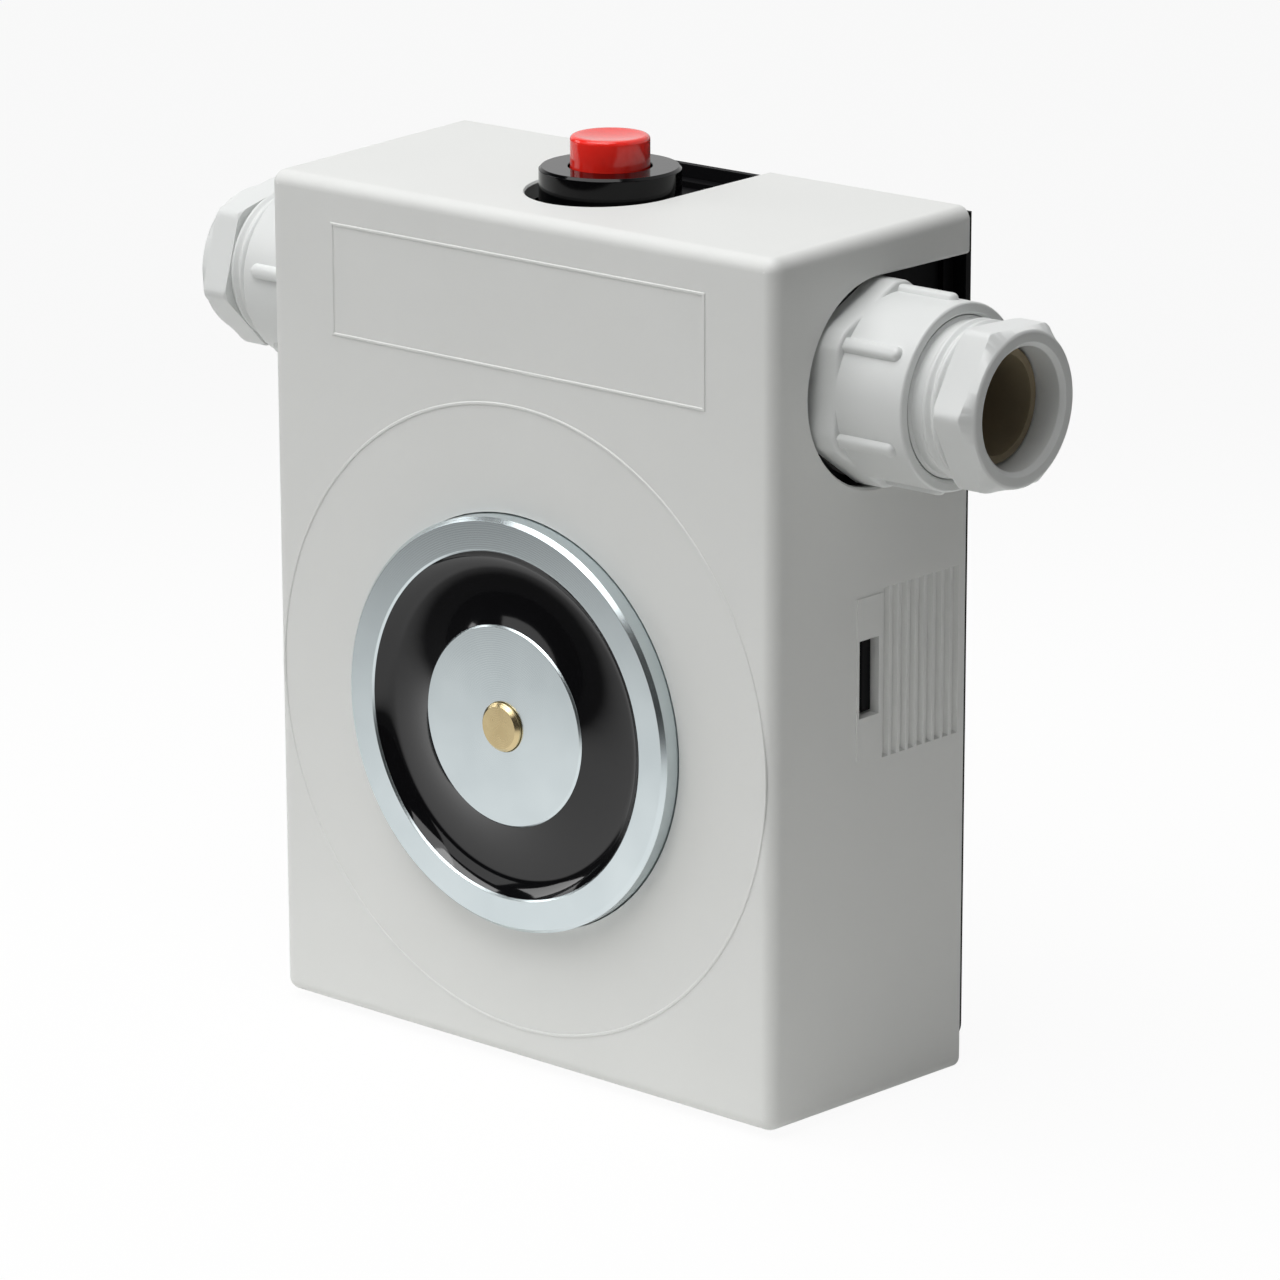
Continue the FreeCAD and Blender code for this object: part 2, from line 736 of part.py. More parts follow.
def build_magnet():
    """Turns the pot with its core and fills it with the coil and the resin."""
    pot = magnet_piece("magnet_pot")
    bevel = S.pot_chamfer
    break_edge = S.pole_chamfer
    pin_hole = pin_radius + S.pin_fit
    chamber = S.chamber_diameter / 2
    thread = bolt_radius + S.bolt_gap
    section = outline(
        (thread, pot_back),
        (pot_radius - bevel, pot_back),
        (pot_radius, pot_back + bevel),
        (pot_radius, pot_front - bevel),
        (pot_radius - bevel, pot_front),
        (pole_radius + break_edge, pot_front),
        (pole_radius, pot_front - break_edge),
        (pole_radius, coil_start),
        (core_radius, coil_start),
        (core_radius, pot_front - break_edge),
        (core_radius - break_edge, pot_front),
        (pin_hole, pot_front),
        (pin_hole, pin_shoulder),
        (chamber, pin_shoulder),
        (chamber, bolt_tip),
        (thread, bolt_tip),
    )
    revolve(pot, "pot_section", section)
    exits = [disc(S.block_pitch / 2 * way, S.lead_ring / 2, S.lead_hole / 2) for way in (-1, 1)]
    extrude(pot, "lead_exits", "XY_Plane", pot_back - 0.5, S.pot_floor + 1, *exits, cut=True)

    hub = core_radius + S.coil_gap
    rim = pole_radius - S.coil_gap
    low = coil_start + S.coil_gap
    wall = S.bobbin_wall
    bobbin = magnet_piece("coil_bobbin")
    section = outline(
        (hub, low),
        (rim, low),
        (rim, low + wall),
        (hub + wall, low + wall),
        (hub + wall, coil_end - wall),
        (rim, coil_end - wall),
        (rim, coil_end),
        (hub, coil_end),
    )
    revolve(bobbin, "bobbin_section", section)

    winding = magnet_piece("coil_winding")
    hub_face = hub + wall + S.coil_gap
    revolve(winding, "winding_section", rect(hub_face, rim - S.winding_inset, low + wall, coil_end - wall))

    potting = magnet_piece("potting_ring")
    inner = core_radius + S.potting_gap
    outer = pole_radius - S.potting_gap
    brim = pot_front - S.potting_drop
    corners = ((inner, coil_end), (outer, coil_end), (outer, brim), (inner, brim))
    revolve(potting, "potting_section", outline(*corners, hollow=2, hollow_radius=S.meniscus_radius))


def build_pin():
    """Builds the push-off pin, its spring and the screw that closes the spring's chamber."""
    pin = magnet_piece("push_off_pin")
    tip = pot_front + S.pin_proud
    head = S.pin_head_diameter / 2
    section = outline(
        (0, pin_head_foot),
        (head, pin_head_foot),
        (head, pin_head_top),
        (pin_radius, pin_head_top),
        (pin_radius, tip - S.pin_chamfer),
        (pin_radius - S.pin_chamfer, tip),
        (0, tip),
    )
    revolve(pin, "pin_section", section)

    length = pin_head_foot - bolt_tip
    wire, turns = S.pin_spring_wire, S.pin_spring_turns
    foot = (0, -bolt_tip - wire / 2, -S.magnet_drop)
    coil_spring("pin_spring", length, S.pin_spring_diameter / 2, wire, turns, WALL, foot)

    screw = magnet_piece("magnet_screw")
    bevel = S.bolt_diameter / 10
    section = outline(
        (0, S.bolt_sink),
        (S.bolt_head_diameter / 2, S.bolt_sink),
        (S.bolt_head_diameter / 2, bolt_seat),
        (bolt_radius, bolt_seat),
        (bolt_radius, bolt_tip - bevel),
        (bolt_radius - bevel, bolt_tip),
        (0, bolt_tip),
    )
    revolve(screw, "screw_section", section)
    hexagon(screw, "screw_socket", S.bolt_sink, S.bolt_socket_depth, S.bolt_socket, cut=True)


def coil_spring(label, length, radius, wire, turns, rotation, foot):
    """Sweeps a round wire along a helix between two seats."""
    helix = DOC.addObject("Part::Helix", f"{label}_helix")
    bind(helix, "Radius", radius)
    bind(helix, "Height", length - wire)
    bind(helix, "Pitch", (length - wire) / turns)
    section = DOC.addObject("Part::Circle", f"{label}_wire")
    place(section, Rotation(Vector(1, 0, 0), 90), radius, 0, 0)
    bind(section, "Radius", wire / 2)
    spring = DOC.addObject("Part::Sweep", label)
    spring.Sections = [section]
    spring.Spine = (helix, [])
    spring.Solid = True
    spring.Frenet = True
    spring.Label = label
    place(spring, rotation, *foot)
    PIECES.append(spring)


def build_button():
    """Builds the button with its collar, and the switch it works."""
    cap = button_piece("button_cap")
    stem = S.stem_diameter / 2
    cap_radius = S.cap_diameter / 2
    cap_top = collar_top + S.cap_rise
    rim = cap_radius - S.cap_rim
    corners = (
        (0, stem_foot),
        (stem, stem_foot),
        (stem, cap_foot),
        (cap_radius, cap_foot),
        (cap_radius, cap_top),
        (rim, cap_top),
        (0, cap_top - S.cap_dish),
    )
    crown = revolve(cap, "cap_section", outline(*corners, hollow=5))
    DOC.recompute()
    level = cap_top.value

    def shoulder(edge):
        box = edge.BoundBox
        return box.ZMin > level - 1e-4 and box.XLength > 2 * rim.value + 0.1

    rounding = cap.newObject("PartDesign::Fillet", "cap_rounding")
    rounding.Base = (crown, names_of("Edge", crown.Shape.Edges, shoulder))
    bind(rounding, "Radius", S.cap_rounding)

    collar = button_piece("button_collar")
    outer = S.collar_diameter / 2
    thread = S.bush_diameter / 2 + S.bush_gap
    hole = cap_radius + S.cap_gap
    bevel = S.collar_chamfer
    section = outline(
        (thread, shelf_top),
        (outer, shelf_top),
        (outer, collar_top - bevel),
        (outer - bevel, collar_top),
        (hole, collar_top),
        (hole, bush_top),
        (thread, bush_top),
    )
    revolve(collar, "collar_section", section)

    switch = button_piece("switch_body")
    bore = stem + S.stem_fit
    section = outline(
        (0, switch_foot),
        (S.switch_diameter / 2, switch_foot),
        (S.switch_diameter / 2, shelf_under),
        (S.bush_diameter / 2, shelf_under),
        (S.bush_diameter / 2, bush_top),
        (bore, bush_top),
        (bore, bore_foot),
        (0, bore_foot),
    )
    revolve(switch, "switch_section", section)

    length = stem_foot - bore_foot
    wire, turns = S.switch_spring_wire, S.switch_spring_turns
    foot = (0, -S.button_depth, bore_foot + wire / 2)
    coil_spring("switch_spring", length, S.switch_spring_diameter / 2, wire, turns, Rotation(), foot)

    lugs = button_piece("switch_lugs")
    half = S.lug_thickness / 2
    strips = [
        rect(S.lug_spacing / 2 * way - half, S.lug_spacing / 2 * way + half, -S.lug_width / 2, S.lug_width / 2)
        for way in (-1, 1)
    ]
    extrude(lugs, "lug_strips", "XY_Plane", switch_foot - S.lug_length, S.lug_length, *strips)


def build_gland(side, hand):
    """Builds one cable gland, from its lock nut inside the base to its pressure screw."""
    thread = S.gland_thread / 2
    flange = S.gasket_thickness
    body = gland_piece(f"gland_body_{hand}", side)
    collar = S.gland_flats / 2
    outside = outline(
        (0, -S.gland_neck),
        (thread, -S.gland_neck),
        (thread, flange),
        (collar, flange),
        (collar, S.gland_collar_end),
        (0, S.gland_collar_end),
    )
    revolve(body, f"neck_{hand}", outside)
    rib_turn = getattr(S, f"gland_turn_{hand}") * side
    hexagon(body, f"flange_{hand}", flange, S.gland_flange - flange, S.gland_flats, rib_turn)
    turned = S.gland_turned / 2
    revolve(body, f"turned_{hand}", rect(turned, turned + 3, 0, S.gland_flange + 1), cut=True)

    sketch = sketch_on(body, f"rib_{hand}", "XZ_Plane")
    sketch.AttachmentOffset = Placement(Vector(), Rotation(Vector(0, 1, 0), rib_turn.value))
    bind(sketch, "AttachmentOffset.Rotation.Angle", rib_turn)
    crest = collar + S.gland_rib_height
    rib_end = S.gland_flange + S.gland_rib_length
    outline(
        (thread + 1, S.gland_flange - 1),
        (crest, S.gland_flange - 1),
        (crest, rib_end - S.gland_rib_run),
        (collar - 0.2, rib_end),
        (thread + 1, rib_end),
    )(sketch)
    rib = body.newObject("PartDesign::Pad", f"rib_{hand}")
    rib.Profile = sketch
    rib.SideType = "Symmetric"
    bind(rib, "Length", S.gland_rib_width)
    ribs = body.newObject("PartDesign::PolarPattern", f"ribs_{hand}")
    ribs.Originals = [rib]
    ribs.Axis = (origin(body, "Z_Axis"), [""])
    ribs.Angle = 360
    ribs.Occurrences = 6
    body.Tip = ribs

    bevel = S.gland_mouth_chamfer
    bore = outline(
        (0, -S.gland_neck - 1),
        (S.gland_passage / 2, -S.gland_neck - 1),
        (S.gland_passage / 2, S.gland_seat),
        (gland_bore, S.gland_seat),
        (gland_bore, S.gland_collar_end - bevel),
        (gland_bore + bevel, S.gland_collar_end),
        (gland_bore + bevel, S.gland_collar_end + 1),
        (0, S.gland_collar_end + 1),
    )
    revolve(body, f"bore_{hand}", bore, cut=True)

    gasket = gland_piece(f"gland_gasket_{hand}", side)
    revolve(gasket, f"gasket_{hand}", rect(gland_bore, S.gasket_diameter / 2, 0, flange))

    seal = gland_piece(f"gland_seal_{hand}", side)
    inner, outer = S.seal_bore / 2, gland_bore - S.gland_thread_gap
    nose = S.gland_passage / 2 - S.seal_nose_gap
    nose_end = seal_end + S.seal_nose_length
    rubber = outline(
        (inner, S.gland_seat),
        (outer, S.gland_seat),
        (outer, seal_end),
        (nose, seal_end),
        (nose, nose_end),
        (nose - S.seal_nose_wall, nose_end),
        (nose - S.seal_nose_wall, seal_end),
        (inner, seal_end),
    )
    revolve(seal, f"seal_{hand}", rubber)

    ring = gland_piece(f"gland_ring_{hand}", side)
    revolve(ring, f"ring_{hand}", rect(S.gland_passage / 2, outer, seal_end, screw_tip))

    screw = gland_piece(f"gland_screw_{hand}", side)
    head_end = S.head_start + S.head_length
    root = thread - S.thread_depth
    corners = [(0, screw_tip), (thread, screw_tip)]
    first = S.head_start - S.thread_pitch * S.thread_turns
    corners += [(thread, S.gland_collar_end), (root, S.gland_collar_end), (root, first)]
    for number in range(1, int(S.thread_turns.value)):
        valley = first + S.thread_pitch * number
        corners += [(thread, valley - S.thread_pitch * 0.4), (thread, valley - S.thread_pitch * 0.25)]
        corners += [(root, valley)]
    corners += [(root, S.head_start), (root, head_end), (0, head_end)]
    revolve(screw, f"thread_{hand}", outline(*corners))
    head_turn = getattr(S, f"head_turn_{hand}") * side
    hexagon(screw, f"head_{hand}", S.head_start, S.head_length, S.head_flats, head_turn)
    turned = S.head_turned / 2
    face = S.head_face / 2
    lathe = outline(
        (turned, S.head_start - 1),
        (turned + 3, S.head_start - 1),
        (turned + 3, head_end + 1),
        (face, head_end + 1),
        (face, head_end),
        (turned, head_end - S.head_bevel),
    )
    revolve(screw, f"lathe_{hand}", lathe, cut=True)
    bore_radius = S.head_bore / 2
    lip = S.lip_chamfer
    bore = outline(
        (0, screw_tip - 1),
        (bore_radius, screw_tip - 1),
        (bore_radius, head_end - lip),
        (bore_radius + lip, head_end),
        (bore_radius + lip, head_end + 1),
        (0, head_end + 1),
    )
    revolve(screw, f"screw_bore_{hand}", bore, cut=True)

    nut = gland_piece(f"gland_nut_{hand}", side)
    nut_face = -S.base_wall - S.nut_thickness
    hexagon(nut, f"nut_{hand}", nut_face, S.nut_thickness, S.nut_flats, S.nut_turn)
    revolve(nut, f"nut_bore_{hand}", rect(0, gland_bore, nut_face - 1, 1), cut=True)


def build_terminals():
    """Builds the terminal block with its brass clamps and screws."""
    block = wall_piece("terminal_block")
    half = block_length / 2
    front_face = S.base_plate + S.block_depth
    poles = [S.block_pitch * (number - (S.block_poles - 1) / 2) for number in range(int(S.block_poles.value))]
    first = poles[0]
    low = block_middle - S.cell_height / 2
    extrude(block, "block", "XY_Plane", S.base_plate, S.block_depth, rect(-half, half, block_foot, block_top))
    cells = [rect(x - S.cell_width / 2, x + S.cell_width / 2, low, low + S.cell_height) for x in poles]
    cell_depth = S.block_depth - S.cell_floor + 1
    extrude(block, "cells", "XY_Plane", clamp_foot, cell_depth, *cells, cut=True)
    wire_level = clamp_foot + S.clamp_height / 2
    ways = [disc(x, wire_level, S.wire_hole / 2) for x in poles]
    extrude(block, "wire_ways", "XZ_Plane", block_foot - 1, S.block_height + 2, *ways, cut=True)
    screw_ways = [
        disc(S.block_pitch * way, block_middle, S.fixing_diameter / 2 + S.fixing_clearance) for way in (-1, 1)
    ]
    extrude(block, "fixing_ways", "XY_Plane", S.base_plate - 1, S.block_depth + 2, *screw_ways, cut=True)
    sinks = [disc(S.block_pitch * way, block_middle, S.fixing_head / 2 + S.fixing_clearance) for way in (-1, 1)]
    sink_floor = front_face - S.fixing_head_height
    extrude(block, "fixing_sinks", "XY_Plane", sink_floor, S.fixing_head_height + 1, *sinks, cut=True)

    clamps = wall_piece("terminal_clamps")
    width = S.cell_width / 2 - S.cell_gap
    height = S.cell_height / 2 - S.cell_gap
    bars = [rect(x - width, x + width, block_middle - height, block_middle + height) for x in poles]
    extrude(clamps, "clamp_bars", "XY_Plane", clamp_foot, S.clamp_height, *bars)
    extrude(clamps, "clamp_ways", "XZ_Plane", block_foot, S.block_height, *ways, cut=True)
    threads = [disc(x, block_middle, S.clamp_screw / 2 + S.bolt_gap) for x in poles]
    extrude(clamps, "clamp_threads", "XY_Plane", wire_level, S.clamp_height, *threads, cut=True)

    screws = wall_piece("terminal_screws")
    shank_foot = clamp_top - S.clamp_screw_bite
    head_foot = shank_foot + S.clamp_screw_length
    shank = disc(first, block_middle, S.clamp_screw / 2)
    shank = extrude(screws, "clamp_shank", "XY_Plane", shank_foot, S.clamp_screw_length, shank)
    head = disc(first, block_middle, S.clamp_screw_head / 2)
    head = extrude(screws, "clamp_head", "XY_Plane", head_foot, S.clamp_screw_head_height, head)
    slot = slotted(screws, "clamp_slot", first, head_foot + S.clamp_screw_head_height, S.clamp_screw_head)
    row_of(screws, "clamp_row", [shank, head, slot], S.block_poles, S.block_pitch)

    fixings = wall_piece("terminal_fixings")
    shank_foot = S.base_plate - S.fixing_bite
    shank = disc(-S.block_pitch, block_middle, S.fixing_diameter / 2)
    shank = extrude(fixings, "fixing_shank", "XY_Plane", shank_foot, sink_floor - shank_foot, shank)
    head = disc(-S.block_pitch, block_middle, S.fixing_head / 2)
    head = extrude(fixings, "fixing_head", "XY_Plane", sink_floor, S.fixing_head_height, head)
    slot = slotted(fixings, "fixing_slot", -S.block_pitch, front_face, S.fixing_head)
    row_of(fixings, "fixing_row", [shank, head, slot], size(2), S.block_pitch * 2)


def slotted(body, name, x, face, diameter):
    """Cuts a screwdriver slot into a screw head on the block's middle line."""
    half = S.driver_slot / 2
    reach = diameter / 2 + 0.2
    slot = rect(x - reach, x + reach, block_middle - half, block_middle + half)
    return extrude(body, name, "XY_Plane", face - S.driver_slot_depth, S.driver_slot_depth + 0.5, slot, cut=True)


def lead(label, points):
    """Sweeps an insulated wire along straight runs joined by arcs."""
    points = [Vector(*(size(part).value for part in point)) for point in points]
    edges = []
    start = points[0]
    for before, corner, after in zip(points, points[1:], points[2:]):
        back = (before - corner).normalize()
        ahead = (after - corner).normalize()
        half = back.getAngle(ahead) / 2
        reach = min(S.lead_bend.value / math.tan(half), 0.45 * before.distanceToPoint(corner))
        reach = min(reach, 0.45 * after.distanceToPoint(corner))
        radius = reach * math.tan(half)
        inward = (back + ahead).normalize()
        middle = corner + inward * (radius / math.sin(half) - radius)
        edges.append(Part.makeLine(start, corner + back * reach))
        edges.append(Part.Arc(corner + back * reach, middle, corner + ahead * reach).toShape())
        start = corner + ahead * reach
    edges.append(Part.makeLine(start, points[-1]))
    circle = Part.makeCircle(S.lead_diameter.value / 2, points[0], points[1] - points[0])
    wire = DOC.addObject("Part::Feature", label)
    wire.Label = label
    wire.Shape = Part.Wire(edges).makePipeShell([Part.Wire(circle)], True, True)
    PIECES.append(wire)


def build_leads():
    """Runs the coil's and the switch's wires to the terminal block."""
    wire_level = clamp_foot + S.clamp_height / 2
    lug_foot = switch_foot - S.lug_length
    for way, hand in ((-1, "left"), (1, "right")):
        x = S.block_pitch / 2 * way
        run = (
            (x, -coil_start - S.coil_gap, lead_rise),
            (x, -wire_level, lead_rise),
            (x, -wire_level, block_foot + S.lead_entry),
        )
        lead(f"coil_lead_{hand}", run)
        lug, pole = S.lug_spacing / 2 * way, S.block_pitch * 1.5 * way
        turn = (lug_foot + block_top) / 2
        run = (
            (lug, -S.button_depth, lug_foot),
            (lug, -S.button_depth, turn),
            (pole, -wire_level, turn),
            (pole, -wire_level, block_top - S.lead_entry),
        )
        lead(f"switch_lead_{hand}", run)


def export():
    """Checks every feature, then writes each piece to its own file."""
    DOC.recompute()
    for feature in DOC.Objects:
        if {"Invalid", "Error"} & set(feature.State):
            raise RuntimeError(f"{feature.Name} failed: {feature.State}")
    for body in PIECES:
        shape = body.Shape
        if shape.isNull() or not shape.isValid() or not shape.Solids:
            raise RuntimeError(f"{body.Label} has no sound solid")
        shape.exportStep(f"parts/{body.Label}.step")


build_cover()
build_base()
build_magnet()
build_pin()
build_button()
build_gland(-1, "left")
build_gland(1, "right")
build_terminals()
build_leads()
export()
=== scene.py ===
"""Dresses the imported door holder: fine turned and moulded surfaces, finishes, studio and camera.

Sizes are in millimetres in the part's own frame: X to the right, Y into the wall and Z up.
Blender works in metres, so every mesh is scaled by MM as it is written.
"""

import logging
import math
from collections.abc import Sequence
from dataclasses import dataclass
from enum import Enum
from functools import cache

import bpy
import numpy as np
from mathutils import Matrix, Vector


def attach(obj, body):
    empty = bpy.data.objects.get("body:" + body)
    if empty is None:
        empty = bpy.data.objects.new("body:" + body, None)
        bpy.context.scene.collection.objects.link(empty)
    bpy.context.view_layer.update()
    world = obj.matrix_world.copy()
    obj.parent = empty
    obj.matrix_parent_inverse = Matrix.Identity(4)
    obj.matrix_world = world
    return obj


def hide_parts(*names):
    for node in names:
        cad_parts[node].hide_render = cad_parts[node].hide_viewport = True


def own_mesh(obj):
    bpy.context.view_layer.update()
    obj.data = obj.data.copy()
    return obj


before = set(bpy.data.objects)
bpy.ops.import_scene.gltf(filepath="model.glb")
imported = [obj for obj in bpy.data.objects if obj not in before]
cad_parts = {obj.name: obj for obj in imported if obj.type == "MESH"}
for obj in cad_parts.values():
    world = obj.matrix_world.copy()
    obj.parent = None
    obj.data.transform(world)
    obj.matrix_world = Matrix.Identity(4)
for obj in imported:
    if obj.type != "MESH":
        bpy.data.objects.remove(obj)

MM = 0.001
# Points that lie closer than this, in millimetres, are made one.
WELD = 0.001
# Edges that bend more than this stay sharp.
SMOOTH_ANGLE = math.radians(32)
# Angle between two corners of a hexagon.
SIXTH = math.pi / 3

# Light that scatters in a plastic goes this deep, in millimetres, and less deep in green and blue.
SCATTER_DEPTH = 0.8
SCATTER_SHARES = (1.0, 0.35, 0.25)

# A Mix node has sockets for every kind of data. These are the numbers of its colour sockets.
MIX_SHARE, MIX_FROM, MIX_TO, MIX_RESULT = 0, 6, 7, 2

log = logging.getLogger("door_holder")


class Body(str, Enum):
    """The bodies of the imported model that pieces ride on."""

    HOUSING = "housing"
    BUTTON = "button"
    PIN = "pin"


class Side(int, Enum):
    """The two ends of the housing that carry a cable gland."""

    LEFT = -1
    RIGHT = 1

    @property
    def word(self) -> str:
        """Returns the side's name as the pieces spell it."""
        return self.name.lower()


class Turning(str, Enum):
    """The axis that a turned surface's tool marks run round."""

    Y = "Y"
    Z = "Z"


# Colour, nodes and objects


def linear(code: str) -> tuple[float, float, float, float]:
    """Turns an sRGB hex value into linear colour.

    Args:
        code: The colour as "#RRGGBB".

    Returns:
        Linear red, green and blue with an alpha of 1.
    """
    values = np.array([int(code[start : start + 2], 16) for start in (1, 3, 5)]) / 255
    curved = ((values + 0.055) / 1.055) ** 2.4
    red, green, blue = np.where(values <= 0.04045, values / 12.92, curved).tolist()
    return red, green, blue, 1.0


def add(
    tree: bpy.types.NodeTree, kind: str, inputs: dict | None = None, **settings: object
) -> bpy.types.Node:
    """Adds a node, sets its options and fills its inputs.

    Args:
        tree: The node tree that gets the node.
        kind: The node's type name without "ShaderNode".
        inputs: Values or sockets by input name or number; a socket is linked.
        **settings: Options of the node, such as its operation.

    Returns:
        The new node.
    """
    node = tree.nodes.new(f"ShaderNode{kind}")
    for name, value in settings.items():
        setattr(node, name, value)
    for key, value in (inputs or {}).items():
        if isinstance(value, bpy.types.NodeSocket):
            tree.links.new(value, node.inputs[key])
        else:
            node.inputs[key].default_value = value
    return node


def blank(name: str) -> tuple[bpy.types.Material, bpy.types.NodeTree]:
    """Makes a material with no nodes in it.

    Args:
        name: The material's name.

    Returns:
        The material and its node tree.
    """
    made = bpy.data.materials.new(name)
    made.use_nodes = True
    made.node_tree.nodes.clear()
    return made, made.node_tree


def enter(name: str, data: bpy.types.ID) -> bpy.types.Object:
    """Puts a new object into the scene, at the origin.

    Args:
        name: The object's name.
        data: Its mesh, lamp or camera.

    Returns:
        The new object.
    """
    made = bpy.data.objects.new(name, data)
    bpy.context.scene.collection.objects.link(made)
    return made


def per_mm(size: float) -> float:
    """Returns the noise scale whose features are about size millimetres wide."""
    return 1 / (size * MM)


def rings_per_mm(spacing: float) -> float:
    """Returns the wave scale whose rings or bands are spacing millimetres apart."""
    return math.pi / 10 / (spacing * MM)


def shaded(code: str, share: float) -> tuple[float, float, float, float]:
    """Returns a colour in linear light, made lighter or darker by a share of itself."""
    red, green, blue, alpha = linear(code)
    return red * (1 + share), green * (1 + share), blue * (1 + share), alpha


# Finishes


@dataclass(frozen=True)
class Finish:
    """A material that pieces are dressed in."""

    name: str  # The material's name.
    colour: str  # Its sRGB colour.

    def surface(self, tree: bpy.types.NodeTree) -> dict:
        """Adds the nodes that make the finish.

        Args:
            tree: The material's node tree.

        Returns:
            The values and sockets that the Principled shader gets.
        """
        raise NotImplementedError

    @cache
    def material(self) -> bpy.types.Material:
        """Builds the material the first time it is asked for.

        Returns:
            The material.
        """
        made, tree = blank(self.name)
        shader = add(tree, "BsdfPrincipled", self.surface(tree))
        add(tree, "OutputMaterial", {"Surface": shader.outputs[0]})
        return made


@dataclass(frozen=True)
class MouldedPlastic(Finish):
    """A moulded plastic or rubber: the tool's grain as bump, with slow drifts of shade and gloss."""

    roughness: float  # Mean roughness.
    ior: float = 1.53  # Refractive index of the plastic.
    grain: float = 0.4  # Width of the tool's grain.
    relief: float = 0.012  # Height of that grain.
    drift: float = 18.0  # Width of the slow drift in shade and gloss.
    mottle: float = 0.02  # Share by which the shade drifts.
    polish: float = 0.05  # Amount by which the roughness drifts.
    depth: float = 0.0  # Share of light that scatters under the surface.

    def surface(self, tree: bpy.types.NodeTree) -> dict:
        """Adds the grain and the slow drifts.

        Args:
            tree: The material's node tree.

        Returns:
            The values and sockets that the Principled shader gets.
        """
        place = add(tree, "TexCoord").outputs["Object"]
        grain = add(tree, "TexNoise", {"Vector": place, "Scale": per_mm(self.grain), "Detail": 2.0})
        drift = add(tree, "TexNoise", {"Vector": place, "Scale": per_mm(self.drift), "Detail": 4.0})
        dark, light = shaded(self.colour, -self.mottle), shaded(self.colour, self.mottle)
        ends = {MIX_SHARE: drift.outputs[0], MIX_FROM: dark, MIX_TO: light}
        shade = add(tree, "Mix", ends, data_type="RGBA")
        gloss = {"Value": drift.outputs[0], "To Min": self.roughness - self.polish}
        gloss["To Max"] = self.roughness + self.polish
        rough = add(tree, "MapRange", gloss)
        height = {"Height": grain.outputs[0], "Distance": self.relief * MM, "Strength": 1.0}
        bump = add(tree, "Bump", height)
        return {
            "Base Color": shade.outputs[MIX_RESULT],
            "Roughness": rough.outputs[0],
            "IOR": self.ior,
            "Normal": bump.outputs[0],
            "Subsurface Weight": self.depth,
            "Subsurface Radius": SCATTER_SHARES,
            "Subsurface Scale": SCATTER_DEPTH * MM,
        }


@dataclass(frozen=True)
class TurnedMetal(Finish):
    """A turned metal: tool marks in rings round its axis, with a cloudy plating or tarnish over them."""

    cloud_colour: str  # Its sRGB colour where the plating is cloudy.
    roughness: float  # Mean roughness.
    centre: tuple[float, float, float] = (0.0, 0.0, 0.0)  # A point on the turning axis.
    turning: Turning = Turning.Y  # The direction of the turning axis.
    feed: float = 0.3  # Spacing of the tool marks.
    relief: float = 0.002  # Height of the tool marks.
    cloud: float = 6.0  # Width of the clouds.
    polish: float = 0.06  # Amount by which the roughness drifts.

    def surface(self, tree: bpy.types.NodeTree) -> dict:
        """Adds the tool marks and the clouds.

        Args:
            tree: The material's node tree.

        Returns:
            The values and sockets that the Principled shader gets.
        """
        place = add(tree, "TexCoord").outputs["Object"]
        middle = tuple(-value * MM for value in self.centre)
        centred = add(tree, "Mapping", {"Vector": place, "Location": middle}).outputs[0]
        wave = {"Vector": centred, "Scale": rings_per_mm(self.feed)}
        marks = add(tree, "TexWave", wave, wave_type="RINGS", rings_direction=self.turning.value)
        cloud = add(tree, "TexNoise", {"Vector": place, "Scale": per_mm(self.cloud), "Detail": 2.0})
        clean, cloudy = linear(self.colour), linear(self.cloud_colour)
        ends = {MIX_SHARE: cloud.outputs[0], MIX_FROM: clean, MIX_TO: cloudy}
        shade = add(tree, "Mix", ends, data_type="RGBA")
        gloss = {"Value": cloud.outputs[0], "To Min": self.roughness - self.polish}
        gloss["To Max"] = self.roughness + self.polish
        rough = add(tree, "MapRange", gloss)
        grain = add(tree, "TexNoise", {"Vector": place, "Scale": per_mm(self.feed * 2), "Detail": 3.0})
        ridges = add(tree, "Math", {0: marks.outputs["Fac"], 1: grain.outputs[0]}, operation="ADD")
        height = {"Height": ridges.outputs[0], "Distance": self.relief * MM, "Strength": 1.0}
        bump = add(tree, "Bump", height)
        return {
            "Base Color": shade.outputs[MIX_RESULT],
            "Metallic": 1.0,
            "Roughness": rough.outputs[0],
            "Normal": bump.outputs[0],
        }


